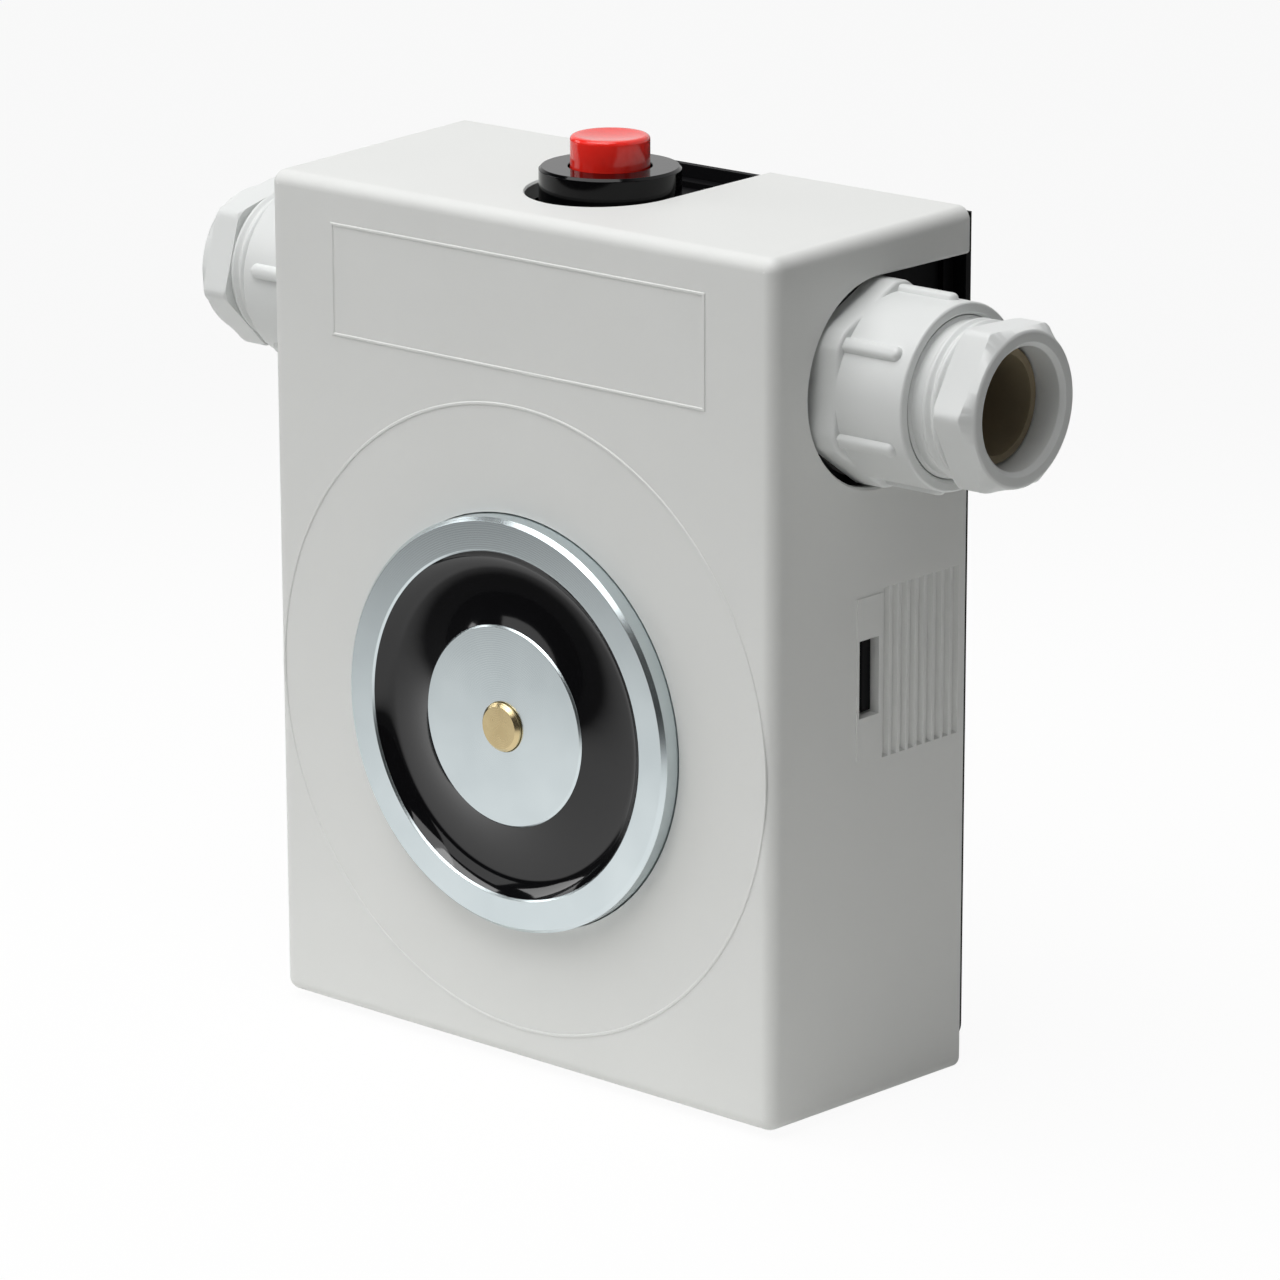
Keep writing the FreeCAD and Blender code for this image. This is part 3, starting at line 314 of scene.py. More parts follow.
@dataclass(frozen=True)
class WoundWire(Finish):
    """Enamelled wire in layers: bands along the coil with painted shade between turns, under a clear varnish.
    """

    # Painted shade: the wire's colour is darkened between the turns, where the grooves lie in shade.
    painted_gap_shade: str  # Its sRGB colour between the wires.
    wire: float  # Spacing of the turns.
    turning: Turning = Turning.Y  # The direction of the coil's axis.
    wander: float = 0.3  # How far the turns stray from even rows.
    roughness: float = 0.35  # Roughness of the wire.
    varnish: float = 0.6  # Weight of the clear varnish.

    def surface(self, tree: bpy.types.NodeTree) -> dict:
        """Adds the turns of wire.

        Args:
            tree: The material's node tree.

        Returns:
            The values and sockets that the Principled shader gets.
        """
        place = add(tree, "TexCoord").outputs["Object"]
        wave = {"Vector": place, "Scale": rings_per_mm(self.wire), "Distortion": self.wander}
        turns = add(tree, "TexWave", wave, bands_direction=self.turning.value)
        shaded_gap, crest = linear(self.painted_gap_shade), linear(self.colour)
        # Painted shade: darker copper in the grooves between the turns, lighter on the crests.
        ends = {MIX_SHARE: turns.outputs["Fac"], MIX_FROM: shaded_gap, MIX_TO: crest}
        shade = add(tree, "Mix", ends, data_type="RGBA")
        height = {"Height": turns.outputs["Fac"], "Distance": self.wire / 3 * MM, "Strength": 1.0}
        bump = add(tree, "Bump", height)
        return {
            "Base Color": shade.outputs[MIX_RESULT],
            "Metallic": 1.0,
            "Roughness": self.roughness,
            "Normal": bump.outputs[0],
            "Coat Weight": self.varnish,
        }


MAGNET_AXIS = (0.0, 0.0, -10.3)

# Light grey ABS from a spark-eroded tool: an even satin skin. The real grain of about 0.1 mm is too fine
# to show, so it is drawn four times as coarse.
COVER_ABS = MouldedPlastic("abs_light_grey_eroded", "#E2E3E1", 0.55, grain=0.4, relief=0.006)
# Polyamide from a polished tool: about as pale as the cover, with a soft shine on every edge.
GLAND_POLYAMIDE = MouldedPlastic(
    "polyamide_light_grey", "#E0E2E1", 0.38, grain=0.9, relief=0.004, drift=7.0, mottle=0.015
)
# Black ABS straight from the tool: matt, so that it reads as a dark gap behind the cover.
BASE_ABS = MouldedPlastic("abs_black_matt", "#08080A", 0.55, ior=1.2, grain=0.5, mottle=0.08)
# Bright zinc plate with a blue passivation over turned steel: a pale blue satin shine.
ZINC_PLATE = TurnedMetal(
    "zinc_plated_steel_blue", "#DCE5E7", "#CFD9DC", 0.25, MAGNET_AXIS, relief=0.001, cloud=9.0
)
# The same plating on small screws: a little duller, with closer marks and clouds.
ZINC_SCREWS = TurnedMetal("zinc_plated_screws", "#CFD8DC", "#BCC6CB", 0.32, feed=0.2, relief=0.003, cloud=3.0)
# Black epoxy poured in and left to set: a wet shine and a slow swell in the surface.
POTTING_EPOXY = MouldedPlastic(
    "epoxy_potting_black", "#08080A", 0.07, grain=6.0, relief=0.02, drift=9.0, mottle=0.1, polish=0.02
)
# Turned brass: warm yellow, with the lathe's rings just visible on the end.
PIN_BRASS = TurnedMetal(
    "brass_turned", "#DECB9E", "#CFBA8C", 0.26, MAGNET_AXIS, feed=0.22, relief=0.003, cloud=2.5
)
# Stamped brass: a deeper yellow than the pin, and duller.
LUG_BRASS = TurnedMetal("brass_stamped", "#D2B678", "#B99A5E", 0.35, turning=Turning.Z, cloud=2.0)
# Red polycarbonate from a polished tool: a clear shine over a colour that glows a little from inside.
CAP_PLASTIC = MouldedPlastic(
    "polycarbonate_red_polished",
    "#F52E24",
    0.08,
    ior=1.47,
    grain=2.0,
    relief=0.002,
    mottle=0.03,
    polish=0.03,
    depth=0.5,
)
# Black ABS from a polished tool: glossy all over, so that it mirrors the cap.
COLLAR_PLASTIC = MouldedPlastic(
    "abs_black_polished", "#040405", 0.1, ior=1.3, grain=2.5, relief=0.002, mottle=0.05, polish=0.03
)
# Natural rubber: brown, dull and slightly uneven, deep in the gland's mouth.
SEAL_RUBBER = MouldedPlastic(
    "natural_rubber_brown", "#8E8168", 0.72, ior=1.52, grain=0.6, relief=0.02, drift=4.0, mottle=0.15
)
# Neoprene: near black, so that the gasket reads as a dark joint line.
GASKET_NEOPRENE = MouldedPlastic(
    "neoprene_black", "#1C1B1A", 0.72, ior=1.52, grain=0.6, relief=0.02, mottle=0.15
)
# Drawn spring wire: bright, with drawing lines too fine to show, so that they are drawn coarser.
SPRING_WIRE = TurnedMetal("spring_steel_drawn", "#B9BCBE", "#9FA3A6", 0.3, feed=0.2, cloud=1.5)
# Natural polyamide: milky and a little see-through.
BOBBIN_POLYAMIDE = MouldedPlastic("polyamide_natural", "#E8E0CB", 0.4, grain=0.8, relief=0.006, depth=0.15)
# Enamelled copper wire of 0.4 mm in neat layers, with painted shade in the grooves between the turns.
COIL_COPPER = WoundWire("copper_wire_enamelled", "#C4713E", "#5A2C18", 0.4)
# Soft PVC sheaths: even colour with a dull shine.
LEAD_RED = MouldedPlastic("pvc_sheath_red", "#B3201C", 0.38, grain=0.7, relief=0.004)
LEAD_BLUE = MouldedPlastic("pvc_sheath_blue", "#2A4F9A", 0.38, grain=0.7, relief=0.004)

# Surfaces


@dataclass(frozen=True)
class Axis:
    """A turning axis: where it starts, where it runs, and the two directions that angles are measured in."""

    origin: tuple[float, float, float]
    along: tuple[float, float, float]
    first: tuple[float, float, float]
    second: tuple[float, float, float]

    def points(self, radius: np.ndarray, offset: np.ndarray, angle: np.ndarray) -> np.ndarray:
        """Places points given by radius, offset along the axis and angle round it.

        A point is the origin plus offset times the axis direction plus radius times the direction that
        lies at that angle between the first and second directions.

        Args:
            radius: Distances from the axis.
            offset: Distances along the axis.
            angle: Angles round the axis, in radians.

        Returns:
            An array of points with a last axis of length 3.
        """
        radius, offset, angle = np.broadcast_arrays(radius, offset, angle)
        first, second = np.array(self.first), np.array(self.second)
        outward = np.cos(angle)[..., None] * first + np.sin(angle)[..., None] * second
        middle = np.array(self.origin) + offset[..., None] * np.array(self.along)
        return middle + radius[..., None] * outward


def rounded(
    corners: Sequence[tuple[float, float, float]], closed: bool, steps: int = 6, guard: float = 0.05
) -> np.ndarray:
    """Rounds the corners of a section line.

    Each corner becomes an arc that touches both of its sides: the centre lies on the corner's bisector, and
    the arc's points are turned evenly from one touching point to the other. A guard point just before and
    after each arc keeps the flat sides flat when they are shaded smooth.

    Args:
        corners: Radius, offset and rounding of each corner; a rounding of 0 keeps it sharp.
        closed: Whether the line runs back to its first corner.
        steps: Segments in each arc.
        guard: Distance of the guard points from the arc.

    Returns:
        The line's points, as radius and offset.
    """
    places = np.array([corner[:2] for corner in corners], float)
    parts = []
    for number, (*_, curve) in enumerate(corners):
        here = places[number]
        inner = 0 < number < len(corners) - 1
        if curve == 0 or not (closed or inner):
            parts.append(here[None])
            continue
        back = places[number - 1] - here
        ahead = places[(number + 1) % len(corners)] - here
        back, ahead = back / np.linalg.norm(back), ahead / np.linalg.norm(ahead)
        half = math.acos(float(np.clip(back @ ahead, -1, 1))) / 2
        reach = curve / math.tan(half)
        middle = here + (back + ahead) / np.linalg.norm(back + ahead) * curve / math.sin(half)
        start, end = here + back * reach - middle, here + ahead * reach - middle
        swing = math.pi - 2 * half
        share = np.linspace(0, 1, steps + 1)[:, None]
        arc = middle + (np.sin((1 - share) * swing) * start + np.sin(share * swing) * end) / math.sin(swing)
        parts += [(here + back * (reach + guard))[None], arc, (here + ahead * (reach + guard))[None]]
    return np.concatenate(parts)


def skin(name: str, grid: np.ndarray, closed_rows: bool) -> bpy.types.Object:
    """Turns a grid of points into a closed mesh, smooth but for its sharp edges.

    Point (row, column) joins its neighbours in a four-sided face. Columns run round and close, rows close
    where asked, and points that meet, as at a pole, are made one. The faces are turned outwards by the sign
    of the volume they enclose.

    Args:
        name: The piece's name.
        grid: Points in millimetres, as rows by columns by 3.
        closed_rows: Whether the last row joins the first.

    Returns:
        The new object, linked to the scene at the origin.
    """
    rows, columns = grid.shape[:2]
    row, column = np.meshgrid(np.arange(rows - (not closed_rows)), np.arange(columns), indexing="ij")
    here, below = row * columns, (row + 1) % rows * columns
    right = (column + 1) % columns
    quads = np.stack([here + column, here + right, below + right, below + column], -1).reshape(-1, 4)
    points = grid.reshape(-1, 3)
    _, kept, place = np.unique(np.round(points / WELD), axis=0, return_index=True, return_inverse=True)
    points, quads = points[kept], place.reshape(-1)[quads]
    first, second, third, fourth = (points[quads[:, corner]] for corner in range(4))
    volume = np.einsum("ij,ij->i", first, np.cross(second, third) + np.cross(third, fourth)).sum()
    quads = quads if volume > 0 else quads[:, ::-1]
    whole = quads != np.roll(quads, -1, axis=1)
    squares = quads[whole.all(1)].tolist()
    three = whole.sum(1) == 3
    triangles = quads[three][whole[three]].reshape(-1, 3).tolist()
    mesh = bpy.data.meshes.new(name)
    mesh.from_pydata((points * MM).tolist(), [], squares + triangles)
    mesh.shade_smooth()
    mesh.set_sharp_from_angle(angle=SMOOTH_ANGLE)
    return enter(name, mesh)


def turned(name: str, axis: Axis, section: np.ndarray, closed: bool, columns: int = 180) -> bpy.types.Object:
    """Turns a section line round an axis: the surface of revolution of that line.

    Args:
        name: The piece's name.
        axis: The turning axis.
        section: Radius and offset of the line's points.
        closed: Whether the section is a closed ring rather than a line from pole to pole.
        columns: Steps round the axis.

    Returns:
        The new object.
    """
    angle = np.arange(columns) * 2 * math.pi / columns
    return skin(name, axis.points(section[:, :1], section[:, 1:], angle), closed)


def six_sided(flats: float, lathe_radius: float | np.ndarray, turn: float, angle: np.ndarray) -> np.ndarray:
    """Works out a hexagon's outline whose corners were turned down on a lathe.

    The radius is half the width over flats divided by the cosine of the angle from the nearest flat's
    middle, and it blends into the lathe's radius by a soft minimum, which leaves the corners rounded.

    Args:
        flats: Width over flats.
        lathe_radius: Radius that the corners are turned down to.
        turn: Angle of one corner, in degrees.
        angle: Angles round the axis, in radians.

    Returns:
        The outline's radius at each angle.
    """
    from_flat = (angle - math.radians(turn)) % SIXTH - SIXTH / 2
    straight = flats / 2 / np.cos(from_flat)
    sharpness = 120.0
    return (straight**-sharpness + lathe_radius**-sharpness) ** (-1 / sharpness)


def corner_angles(turn: float, spread: float, fine: int, coarse: int) -> np.ndarray:
    """Spaces angles round an axis, close together near six corners and wider between them.

    Args:
        turn: Angle of one corner, in degrees.
        spread: Half the width of the fine zone, in degrees.
        fine: Steps in the fine zone.
        coarse: Steps between two fine zones.

    Returns:
        The angles in radians, once round.
    """
    near = np.linspace(-spread, spread, fine, endpoint=False)
    between = np.linspace(spread, 60 - spread, coarse, endpoint=False)
    sixth = np.concatenate([near, between])
    return np.radians(turn + (np.arange(6)[:, None] * 60 + sixth).ravel())


# Sub-assemblies


def dress(node: str, finish: Finish) -> None:
    """Gives a CAD node its finish and leaves its shape alone.

    Args:
        node: The node's name.
        finish: The finish that it gets.
    """
    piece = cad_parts[node]
    for slot in piece.material_slots:
        slot.material = finish.material()
    log.info("%s keeps its CAD shape in %s", node, finish.name)


def settle(piece: bpy.types.Object, body: Body, node: str, finish: Finish) -> None:
    """Lets a new piece ride on a body, stand for a CAD node and take its finish.

    Args:
        piece: The new piece.
        body: The body that it moves with.
        node: The CAD node that it stands for.
        finish: The finish that it gets.
    """
    piece.data.materials.append(finish.material())
    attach(piece, body.value)
    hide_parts(node)
    log.info("%s stands for %s in %s", piece.name, node, finish.name)


@dataclass
class Housing:
    """The cover and the base that it clips onto, which keep their CAD shapes."""

    def build(self) -> None:
        """Dresses the cover and the base."""
        dress("cover", COVER_ABS)
        dress("base", BASE_ABS)


@dataclass(frozen=True)
class CoilSpring:
    """A spring of round wire, which shortens as a joint presses it."""

    node: str  # The CAD node that it stands for.
    joint: str  # The joint that presses it.
    stroke: float  # Distance by which that joint shortens it.
    axis: Axis  # The axis that it is wound round.
    foot: float  # Offset of the seat that stays.
    top: float  # Offset of the pressed end at rest.
    radius: float  # Radius of the wire's middle line.
    wire: float  # Diameter of the wire.
    turns: int  # Number of turns.

    def wound(self, steps: int = 48, columns: int = 16) -> bpy.types.Object:
        """Winds the wire: a circle carried along a helix, with a flat end on each side.

        The middle line's offset grows evenly with its angle. A point of the surface lies half a wire's
        diameter from the middle line, turned round it in the plane through the axis.

        Args:
            steps: Steps in each turn.
            columns: Steps round the wire.

        Returns:
            The new object.
        """
        angle = np.linspace(0, 2 * math.pi * self.turns, steps * self.turns + 1)[:, None]
        half = self.wire / 2
        middle = self.foot + half + (self.top - self.foot - self.wire) * angle / angle[-1]
        round_wire = np.arange(columns) * 2 * math.pi / columns
        out, up = half * np.cos(round_wire), half * np.sin(round_wire)
        tube = self.axis.points(self.radius + out, middle + up, angle)
        ends = self.axis.points(np.full(columns, self.radius), middle[[0, -1]], angle[[0, -1]])
        grid = np.concatenate([ends[:1], tube, ends[1:]])
        return skin(f"{self.node}_wound", grid, closed_rows=False)

    def build(self) -> None:
        """Lets the spring ride on the housing in its finish, in place of its CAD node, with a mesh of its
        own.
        """
        piece = self.wound()
        settle(piece, Body.HOUSING, self.node, SPRING_WIRE)
        seat = self.axis.points(np.zeros(1), np.full(1, self.foot), np.zeros(1))[0] * MM
        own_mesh(piece)


@dataclass
class Magnet:
    """The pot magnet with its resin and push-off pin, measured out from the wall."""

    front: float = 40.7  # Height of the pole faces above the wall.
    back: float = 12.7  # Height of the pot's back.
    floor: float = 18.7  # Height of the pot's floor inside.
    radius: float = 27.5  # Outer radius of the pot.
    bevel: float = 0.55  # Bevel at the pot's outer edges.
    pole_radius: float = 23.0  # Inner radius of the outer pole ring.
    core_radius: float = 13.4  # Radius of the core.
    edge: float = 0.25  # Bevel at the poles' inner edges.
    break_edge: float = 0.07  # Rounding left on turned edges.
    pin_hole: float = 3.31  # Radius of the pin's guide.
    shoulder: float = 35.7  # Height where the guide opens into the spring's chamber.
    chamber: float = 4.3  # Radius of that chamber.
    bolt_tip: float = 21.7  # Height of the closing screw's tip.
    thread: float = 5.05  # Radius of the closing screw's hole.
    resin_foot: float = 37.1  # Height of the resin's underside.
    resin_drop: float = 0.3  # Depth of the resin's brim below the pole faces.
    resin_gap: float = 0.02  # Gap between the resin and the poles.
    resin_sag: float = 1.5  # Depth of the resin's hollow.
    resin_low: float = 0.75  # Share of the way out from the core where the hollow is deepest.
    pin_radius: float = 3.25  # Radius of the pin.
    pin_proud: float = 0.8  # Height of the pin above the pole faces.
    pin_bevel: float = 0.45  # Bevel at the pin's tip.
    pin_head: float = 4.15  # Radius of the pin's head in the chamber.
    pin_head_top: float = 35.65  # Height of that head's upper side.
    pin_head_foot: float = 33.15  # Height of that head's underside.
    spring_size: tuple[float, float, int] = (3.2, 0.8, 6)  # Radius of the spring, its wire and its turns.

    @property
    def axis(self) -> Axis:
        """Returns the magnet's axis, out of the wall."""
        return Axis(MAGNET_AXIS, (0, -1, 0), (1, 0, 0), (0, 0, 1))

    def pot(self) -> bpy.types.Object:
        """Turns the steel pot with its core, its edges broken.

        Returns:
            The new object.
        """
        soft = self.break_edge
        corners = [
            (self.thread, self.back, 0),
            (self.radius - self.bevel, self.back, soft),
            (self.radius, self.back + self.bevel, soft),
            (self.radius, self.front - self.bevel, soft),
            (self.radius - self.bevel, self.front, soft),
            (self.pole_radius + self.edge, self.front, soft),
            (self.pole_radius, self.front - self.edge, soft),
            (self.pole_radius, self.floor, 0),
            (self.core_radius, self.floor, 0),
            (self.core_radius, self.front - self.edge, soft),
            (self.core_radius - self.edge, self.front, soft),
            (self.pin_hole, self.front, soft),
            (self.pin_hole, self.shoulder, 0),
            (self.chamber, self.shoulder, 0),
            (self.chamber, self.bolt_tip, 0),
            (self.thread, self.bolt_tip, 0),
        ]
        section = rounded(corners, closed=True, steps=4)
        return turned("pot_turned", self.axis, section, closed=True, columns=240)

    def resin(self) -> bpy.types.Object:
        """Casts the resin ring, whose surface creeps up the steel on both sides.

        Across the ring the surface is two parabolas that meet level at its lowest circle, so the hollow
        is deepest nearer the outer pole and climbs more steeply there.

        Returns:
            The new object.
        """
        inner, outer = self.core_radius + self.resin_gap, self.pole_radius - self.resin_gap
        brim = self.front - self.resin_drop
        share = np.linspace(1, 0, num=61)
        reach = np.where(share > self.resin_low, 1 - self.resin_low, self.resin_low)
        hollow = brim - self.resin_sag * (1 - ((share - self.resin_low) / reach) ** 2)
        across = inner + (outer - inner) * share
        surface = np.stack([across, hollow], 1)
        foot = np.array([(inner, self.resin_foot), (outer, self.resin_foot)])
        section = np.concatenate([foot, surface])
        return turned("resin_cast", self.axis, section, closed=True, columns=240)

    def pin(self) -> bpy.types.Object:
        """Turns the push-off pin, from its head in the chamber to its bevelled tip.

        Returns:
            The new object.
        """
        tip = self.front + self.pin_proud
        soft = self.break_edge
        corners = [
            (0, self.pin_head_foot, 0),
            (self.pin_head, self.pin_head_foot, soft),
            (self.pin_head, self.pin_head_top, soft),
            (self.pin_radius, self.pin_head_top, 0),
            (self.pin_radius, tip - self.pin_bevel, soft),
            (self.pin_radius - self.pin_bevel, tip, soft),
            (0, tip, 0),
        ]
        section = rounded(corners, closed=False, steps=4)
        return turned("pin_turned", self.axis, section, closed=False, columns=96)

    def spring(self) -> CoilSpring:
        """Returns the spring between the closing screw and the pin's head, pressed until the pin is flush."""
        ends = (self.bolt_tip, self.pin_head_foot)
        return CoilSpring("pin_spring", "pin_push", self.pin_proud, self.axis, *ends, *self.spring_size)

    def build(self) -> None:
        """Makes the pieces that show and dresses those inside."""
        settle(self.pot(), Body.HOUSING, "magnet_pot", ZINC_PLATE)
        settle(self.resin(), Body.HOUSING, "potting_ring", POTTING_EPOXY)
        settle(self.pin(), Body.PIN, "push_off_pin", PIN_BRASS)
        dress("coil_bobbin", BOBBIN_POLYAMIDE)
        dress("coil_winding", COIL_COPPER)
        self.spring().build()
        dress("magnet_screw", ZINC_SCREWS)


@dataclass
class ReleaseButton:
    """The red push button and its collar, measured up from the origin's level."""

    depth: float = 19.4  # Distance of the axis from the wall.
    top: float = 63.835  # Height of the cap's rim.
    cap_foot: float = 59.185  # Height of the cap's lower edge.
    cap_radius: float = 5.15  # Radius of the cap.
    rim: float = 1.0  # Width of the flat rim round the dish.
    dish: float = 0.25  # Depth of the dish.
    shoulder: float = 0.6  # Rounding of the cap's edge.
    stem_radius: float = 3.5  # Radius of the stem.
    stem_foot: float = 47.185  # Height of the stem's lower end.
    collar_foot: float = 54.135  # Height of the shelf that the collar stands on.
    collar_top: float = 59.835  # Height of the collar's face.
    collar_radius: float = 9.2  # Radius of the collar.
    collar_bevel: float = 0.35  # Bevel of the collar's upper edge.
    collar_hole: float = 5.45  # Radius of the hole round the cap.
    bush_top: float = 56.985  # Height of the bush inside the collar.
    bush_radius: float = 6.05  # Radius of the hole round the bush.
    break_edge: float = 0.12  # Rounding left on moulded edges.
    travel: float = 2.0  # Distance that the cap is pressed by.
    spring_foot: float = 40.435  # Height of the spring's seat.
    spring_size: tuple[float, float, int] = (2.7, 0.6, 4)  # Radius of the spring, its wire and its turns.

    @property
    def axis(self) -> Axis:
        """Returns the button's upright axis."""
        return Axis((0, -self.depth, 0), (0, 0, 1), (1, 0, 0), (0, 1, 0))

    def cap(self) -> bpy.types.Object:
        """Moulds the cap: a stem, a drum with a rounded edge and an arc-shaped dish in its top.

        Returns:
            The new object.
        """
        mouth = self.cap_radius - self.rim
        corners = [
            (0, self.stem_foot, 0),
            (self.stem_radius, self.stem_foot, self.break_edge),
            (self.stem_radius, self.cap_foot, 0),
            (self.cap_radius, self.cap_foot, self.break_edge),
            (self.cap_radius, self.top, self.shoulder),
            (mouth, self.top, 0),
        ]
        side = rounded(corners, closed=False, steps=8)
        across = np.linspace(mouth, 0, num=24)[1:]
        curve = (mouth**2 + self.dish**2) / (2 * self.dish)
        hollow = self.top - self.dish + curve - np.sqrt(curve**2 - across**2)
        section = np.concatenate([side, np.stack([across, hollow], 1)])
        return turned("cap_moulded", self.axis, section, closed=False, columns=144)

    def collar(self) -> bpy.types.Object:
        """Moulds the collar that stands round the cap.

        Returns:
            The new object.
        """
        soft = self.break_edge
        corners = [
            (self.bush_radius, self.collar_foot, 0),
            (self.collar_radius, self.collar_foot, soft),
            (self.collar_radius, self.collar_top - self.collar_bevel, soft),
            (self.collar_radius - self.collar_bevel, self.collar_top, soft),
            (self.collar_hole, self.collar_top, soft),
            (self.collar_hole, self.bush_top, 0),
            (self.bush_radius, self.bush_top, 0),
        ]
        section = rounded(corners, closed=True, steps=5)
        return turned("collar_moulded", self.axis, section, closed=True)

    def spring(self) -> CoilSpring:
        """Returns the spring under the stem, pressed by the cap's travel."""
        ends = (self.spring_foot, self.stem_foot)
        return CoilSpring("switch_spring", "button_press", self.travel, self.axis, *ends, *self.spring_size)

    def build(self) -> None:
        """Makes the pieces that show and dresses those inside."""
        settle(self.cap(), Body.BUTTON, "button_cap", CAP_PLASTIC)
        settle(self.collar(), Body.HOUSING, "button_collar", COLLAR_PLASTIC)
        dress("switch_body", BASE_ABS)
        self.spring().build()
        dress("switch_lugs", LUG_BRASS)


# Angles of a flange corner and of a head corner on each gland, in degrees, as the photograph shows them.
GLAND_TURNS = {Side.LEFT: (9.5, -14.0), Side.RIGHT: (35.0, 2.6)}


@dataclass
class CableGland:
    """One cable gland, measured outwards from the base's side wall."""

    side: Side  # The end of the housing that it is on.
    corner: float  # Angle of a flange corner and of a rib, from the front towards the top.
    head_corner: float  # Angle of a head corner, measured likewise.
    wall: float = 40.635  # Distance of the base's side wall from the middle.
    depth: float = 18.0  # Distance of the axis from the wall behind.
    rise: float = 38.0  # Height of the axis.
    neck_foot: float = -11.0  # Offset of the neck's inner end.
    passage: float = 7.5  # Radius of the passage through the neck.
    thread: float = 10.2  # Radius of the threads.
    flange_foot: float = 1.0  # Offset of the flange's back.
    flange_top: float = 5.4  # Offset of the flange's front.
    flats: float = 23.8  # Width of the flange over flats.
    lathe: float = 13.1  # Radius that the flange's corners are turned to.
    flange_edge: float = 0.5  # Rounding of the flange's front edge.
    collar: float = 11.9  # Radius of the collar.
    collar_end: float = 15.7  # Offset of the collar's mouth.
    mouth: float = 10.3  # Radius of the collar's bore.
    mouth_bevel: float = 0.4  # Bevel of that mouth.
    collar_edge: float = 0.35  # Rounding of the collar's outer edge.
    seat: float = 1.6  # Offset of the seal's seat.
    rib_width: float = 1.9  # Width of a rib.
    rib_height: float = 0.8  # Height of a rib.
    rib_end: float = 14.0  # Offset where a rib ends.
    screw_tip: float = 13.6  # Offset of the pressure screw's inner end.
    thread_depth: float = 0.45  # Depth of the screw's thread.
    pitch: float = 1.41  # Pitch of the screw's thread.
    head_start: float = 20.0  # Offset of the screw's head.
    head_end: float = 25.5  # Offset of the head's face.
    head_flats: float = 20.0  # Width of the head over flats.
    head_lathe: float = 11.35  # Radius that the head's corners are turned to.
    head_face: float = 9.7  # Radius where the head's bevel meets its face.
    head_bevel: float = 1.5  # Length of the bevel turned on the head's corners.
    head_edge: float = 0.7  # Rounding of the bevel's inner edge.
    bore: float = 7.8  # Radius of the screw's bore.
    lip: float = 0.6  # Bevel at the bore's mouth.
    lip_edges: tuple[float, float] = (0.2, 0.3)  # Roundings of that bevel's outer and inner edges.
    soft: float = 0.1  # Rounding left on small edges.
    neck_edge: float = 0.3  # Rounding of the neck's inner end.
    rib_power: float = 2.6  # Power that shapes a rib: 2 is an ellipse, more is flatter on top.
    rib_rows: tuple[float, float] = (6.0, 11.5)  # First and last row on a rib's straight part.
    plain_rows: tuple[float, float] = (14.6, 15.1)  # Rows between the ribs and the collar's mouth.
    shank_inset: float = 0.3  # Depth in the collar where the screw's full shank ends.
    root_inset: float = 0.1  # Depth in the collar where the thread's root begins.
    root_length: float = 1.2  # Length of bare root outside the collar.
    run_in: float = 0.5  # Length over which the thread rises after it.
    run_out: float = 0.3  # Length over which the thread fades at the head.
    crest_power: float = 0.8  # Power that shapes the thread: less than 1 gives wider crests.
    back_bevel: float = 0.3  # Bevel at the head's back.
    bevel_edge: float = 0.4  # Rounding of the outer edge of the head's bevel.
    face_ring: float = 0.7  # Width of the flat ring round the bore's mouth.

    @property
    def axis(self) -> Axis:
        """Returns the gland's axis, out of the housing, with angles from the front towards the top."""
        side = self.side.value
        return Axis((side * self.wall, -self.depth, self.rise), (side, 0, 0), (0, -1, 0), (0, 0, 1))

    def rib(self, angle: np.ndarray, offset: np.ndarray) -> np.ndarray:
        """Works out how far the ribs stand up.

        A rib is a bar with a half-round end, whose middle line stops half a width short of that end. With
        the distance from that line in half widths, the height is the rib's full height times the square
        root of 1 less a power of the distance: a flattened ellipse.

        Args:
            angle: Angles round the axis, in radians.
            offset: Offsets along the axis.

        Returns:
            The height at each angle and offset.
        """
        turn = (angle - math.radians(self.corner) + SIXTH / 2) % SIXTH - SIXTH / 2
        half = self.rib_width / 2
        beyond = np.maximum(offset - (self.rib_end - half), 0)
        distance = np.hypot(turn * self.collar, beyond) / half
        return self.rib_height * np.sqrt(np.clip(1 - distance**self.rib_power, 0, None))

    def body(self) -> bpy.types.Object:
        """Moulds the gland's body: neck, six-sided flange, collar with ribs, and the bore for the screw.

        Each row of the grid has one offset and a plain radius. On the flange the six-sided outline takes
        its place wherever it is larger, and on the collar the ribs are added to it.

        Returns:
            The new object.
        """
        angle = corner_angles(self.corner, spread=7.0, fine=32, coarse=12)
        bend = np.radians(np.linspace(0, 90, num=6))
        inset = self.flange_edge * (1 - np.cos(bend))
        edge = self.flange_top - self.flange_edge * (1 - np.sin(bend))
        neck = rounded(
            [
                (self.passage, self.neck_foot, 0),
                (self.thread, self.neck_foot, self.neck_edge),
                (self.thread, self.flange_foot, 0),
            ],
            closed=False,
        )
        foot_row = self.flange_top + self.soft / 2
        near_end = np.linspace(self.rib_end - self.rib_width, self.rib_end + self.soft, num=24)
        along = np.concatenate([[foot_row], np.linspace(*self.rib_rows, num=5), near_end, self.plain_rows])
        mouth = rounded(
            [
                (self.collar, self.plain_rows[-1], 0),
                (self.collar, self.collar_end, self.collar_edge),
                (self.mouth + self.mouth_bevel, self.collar_end, self.soft),
                (self.mouth, self.collar_end - self.mouth_bevel, self.soft),
                (self.mouth, self.seat, 0),
                (self.passage, self.seat, 0),
            ],
            closed=False,
        )[1:]
        six = six_sided(self.flats, self.lathe, self.corner, angle)
        flange_rows = np.maximum(six - np.concatenate([[0.0], inset])[:, None], self.collar)
        collar_rows = self.collar + self.rib(angle, along[:, None])
        width = np.ones_like(angle)
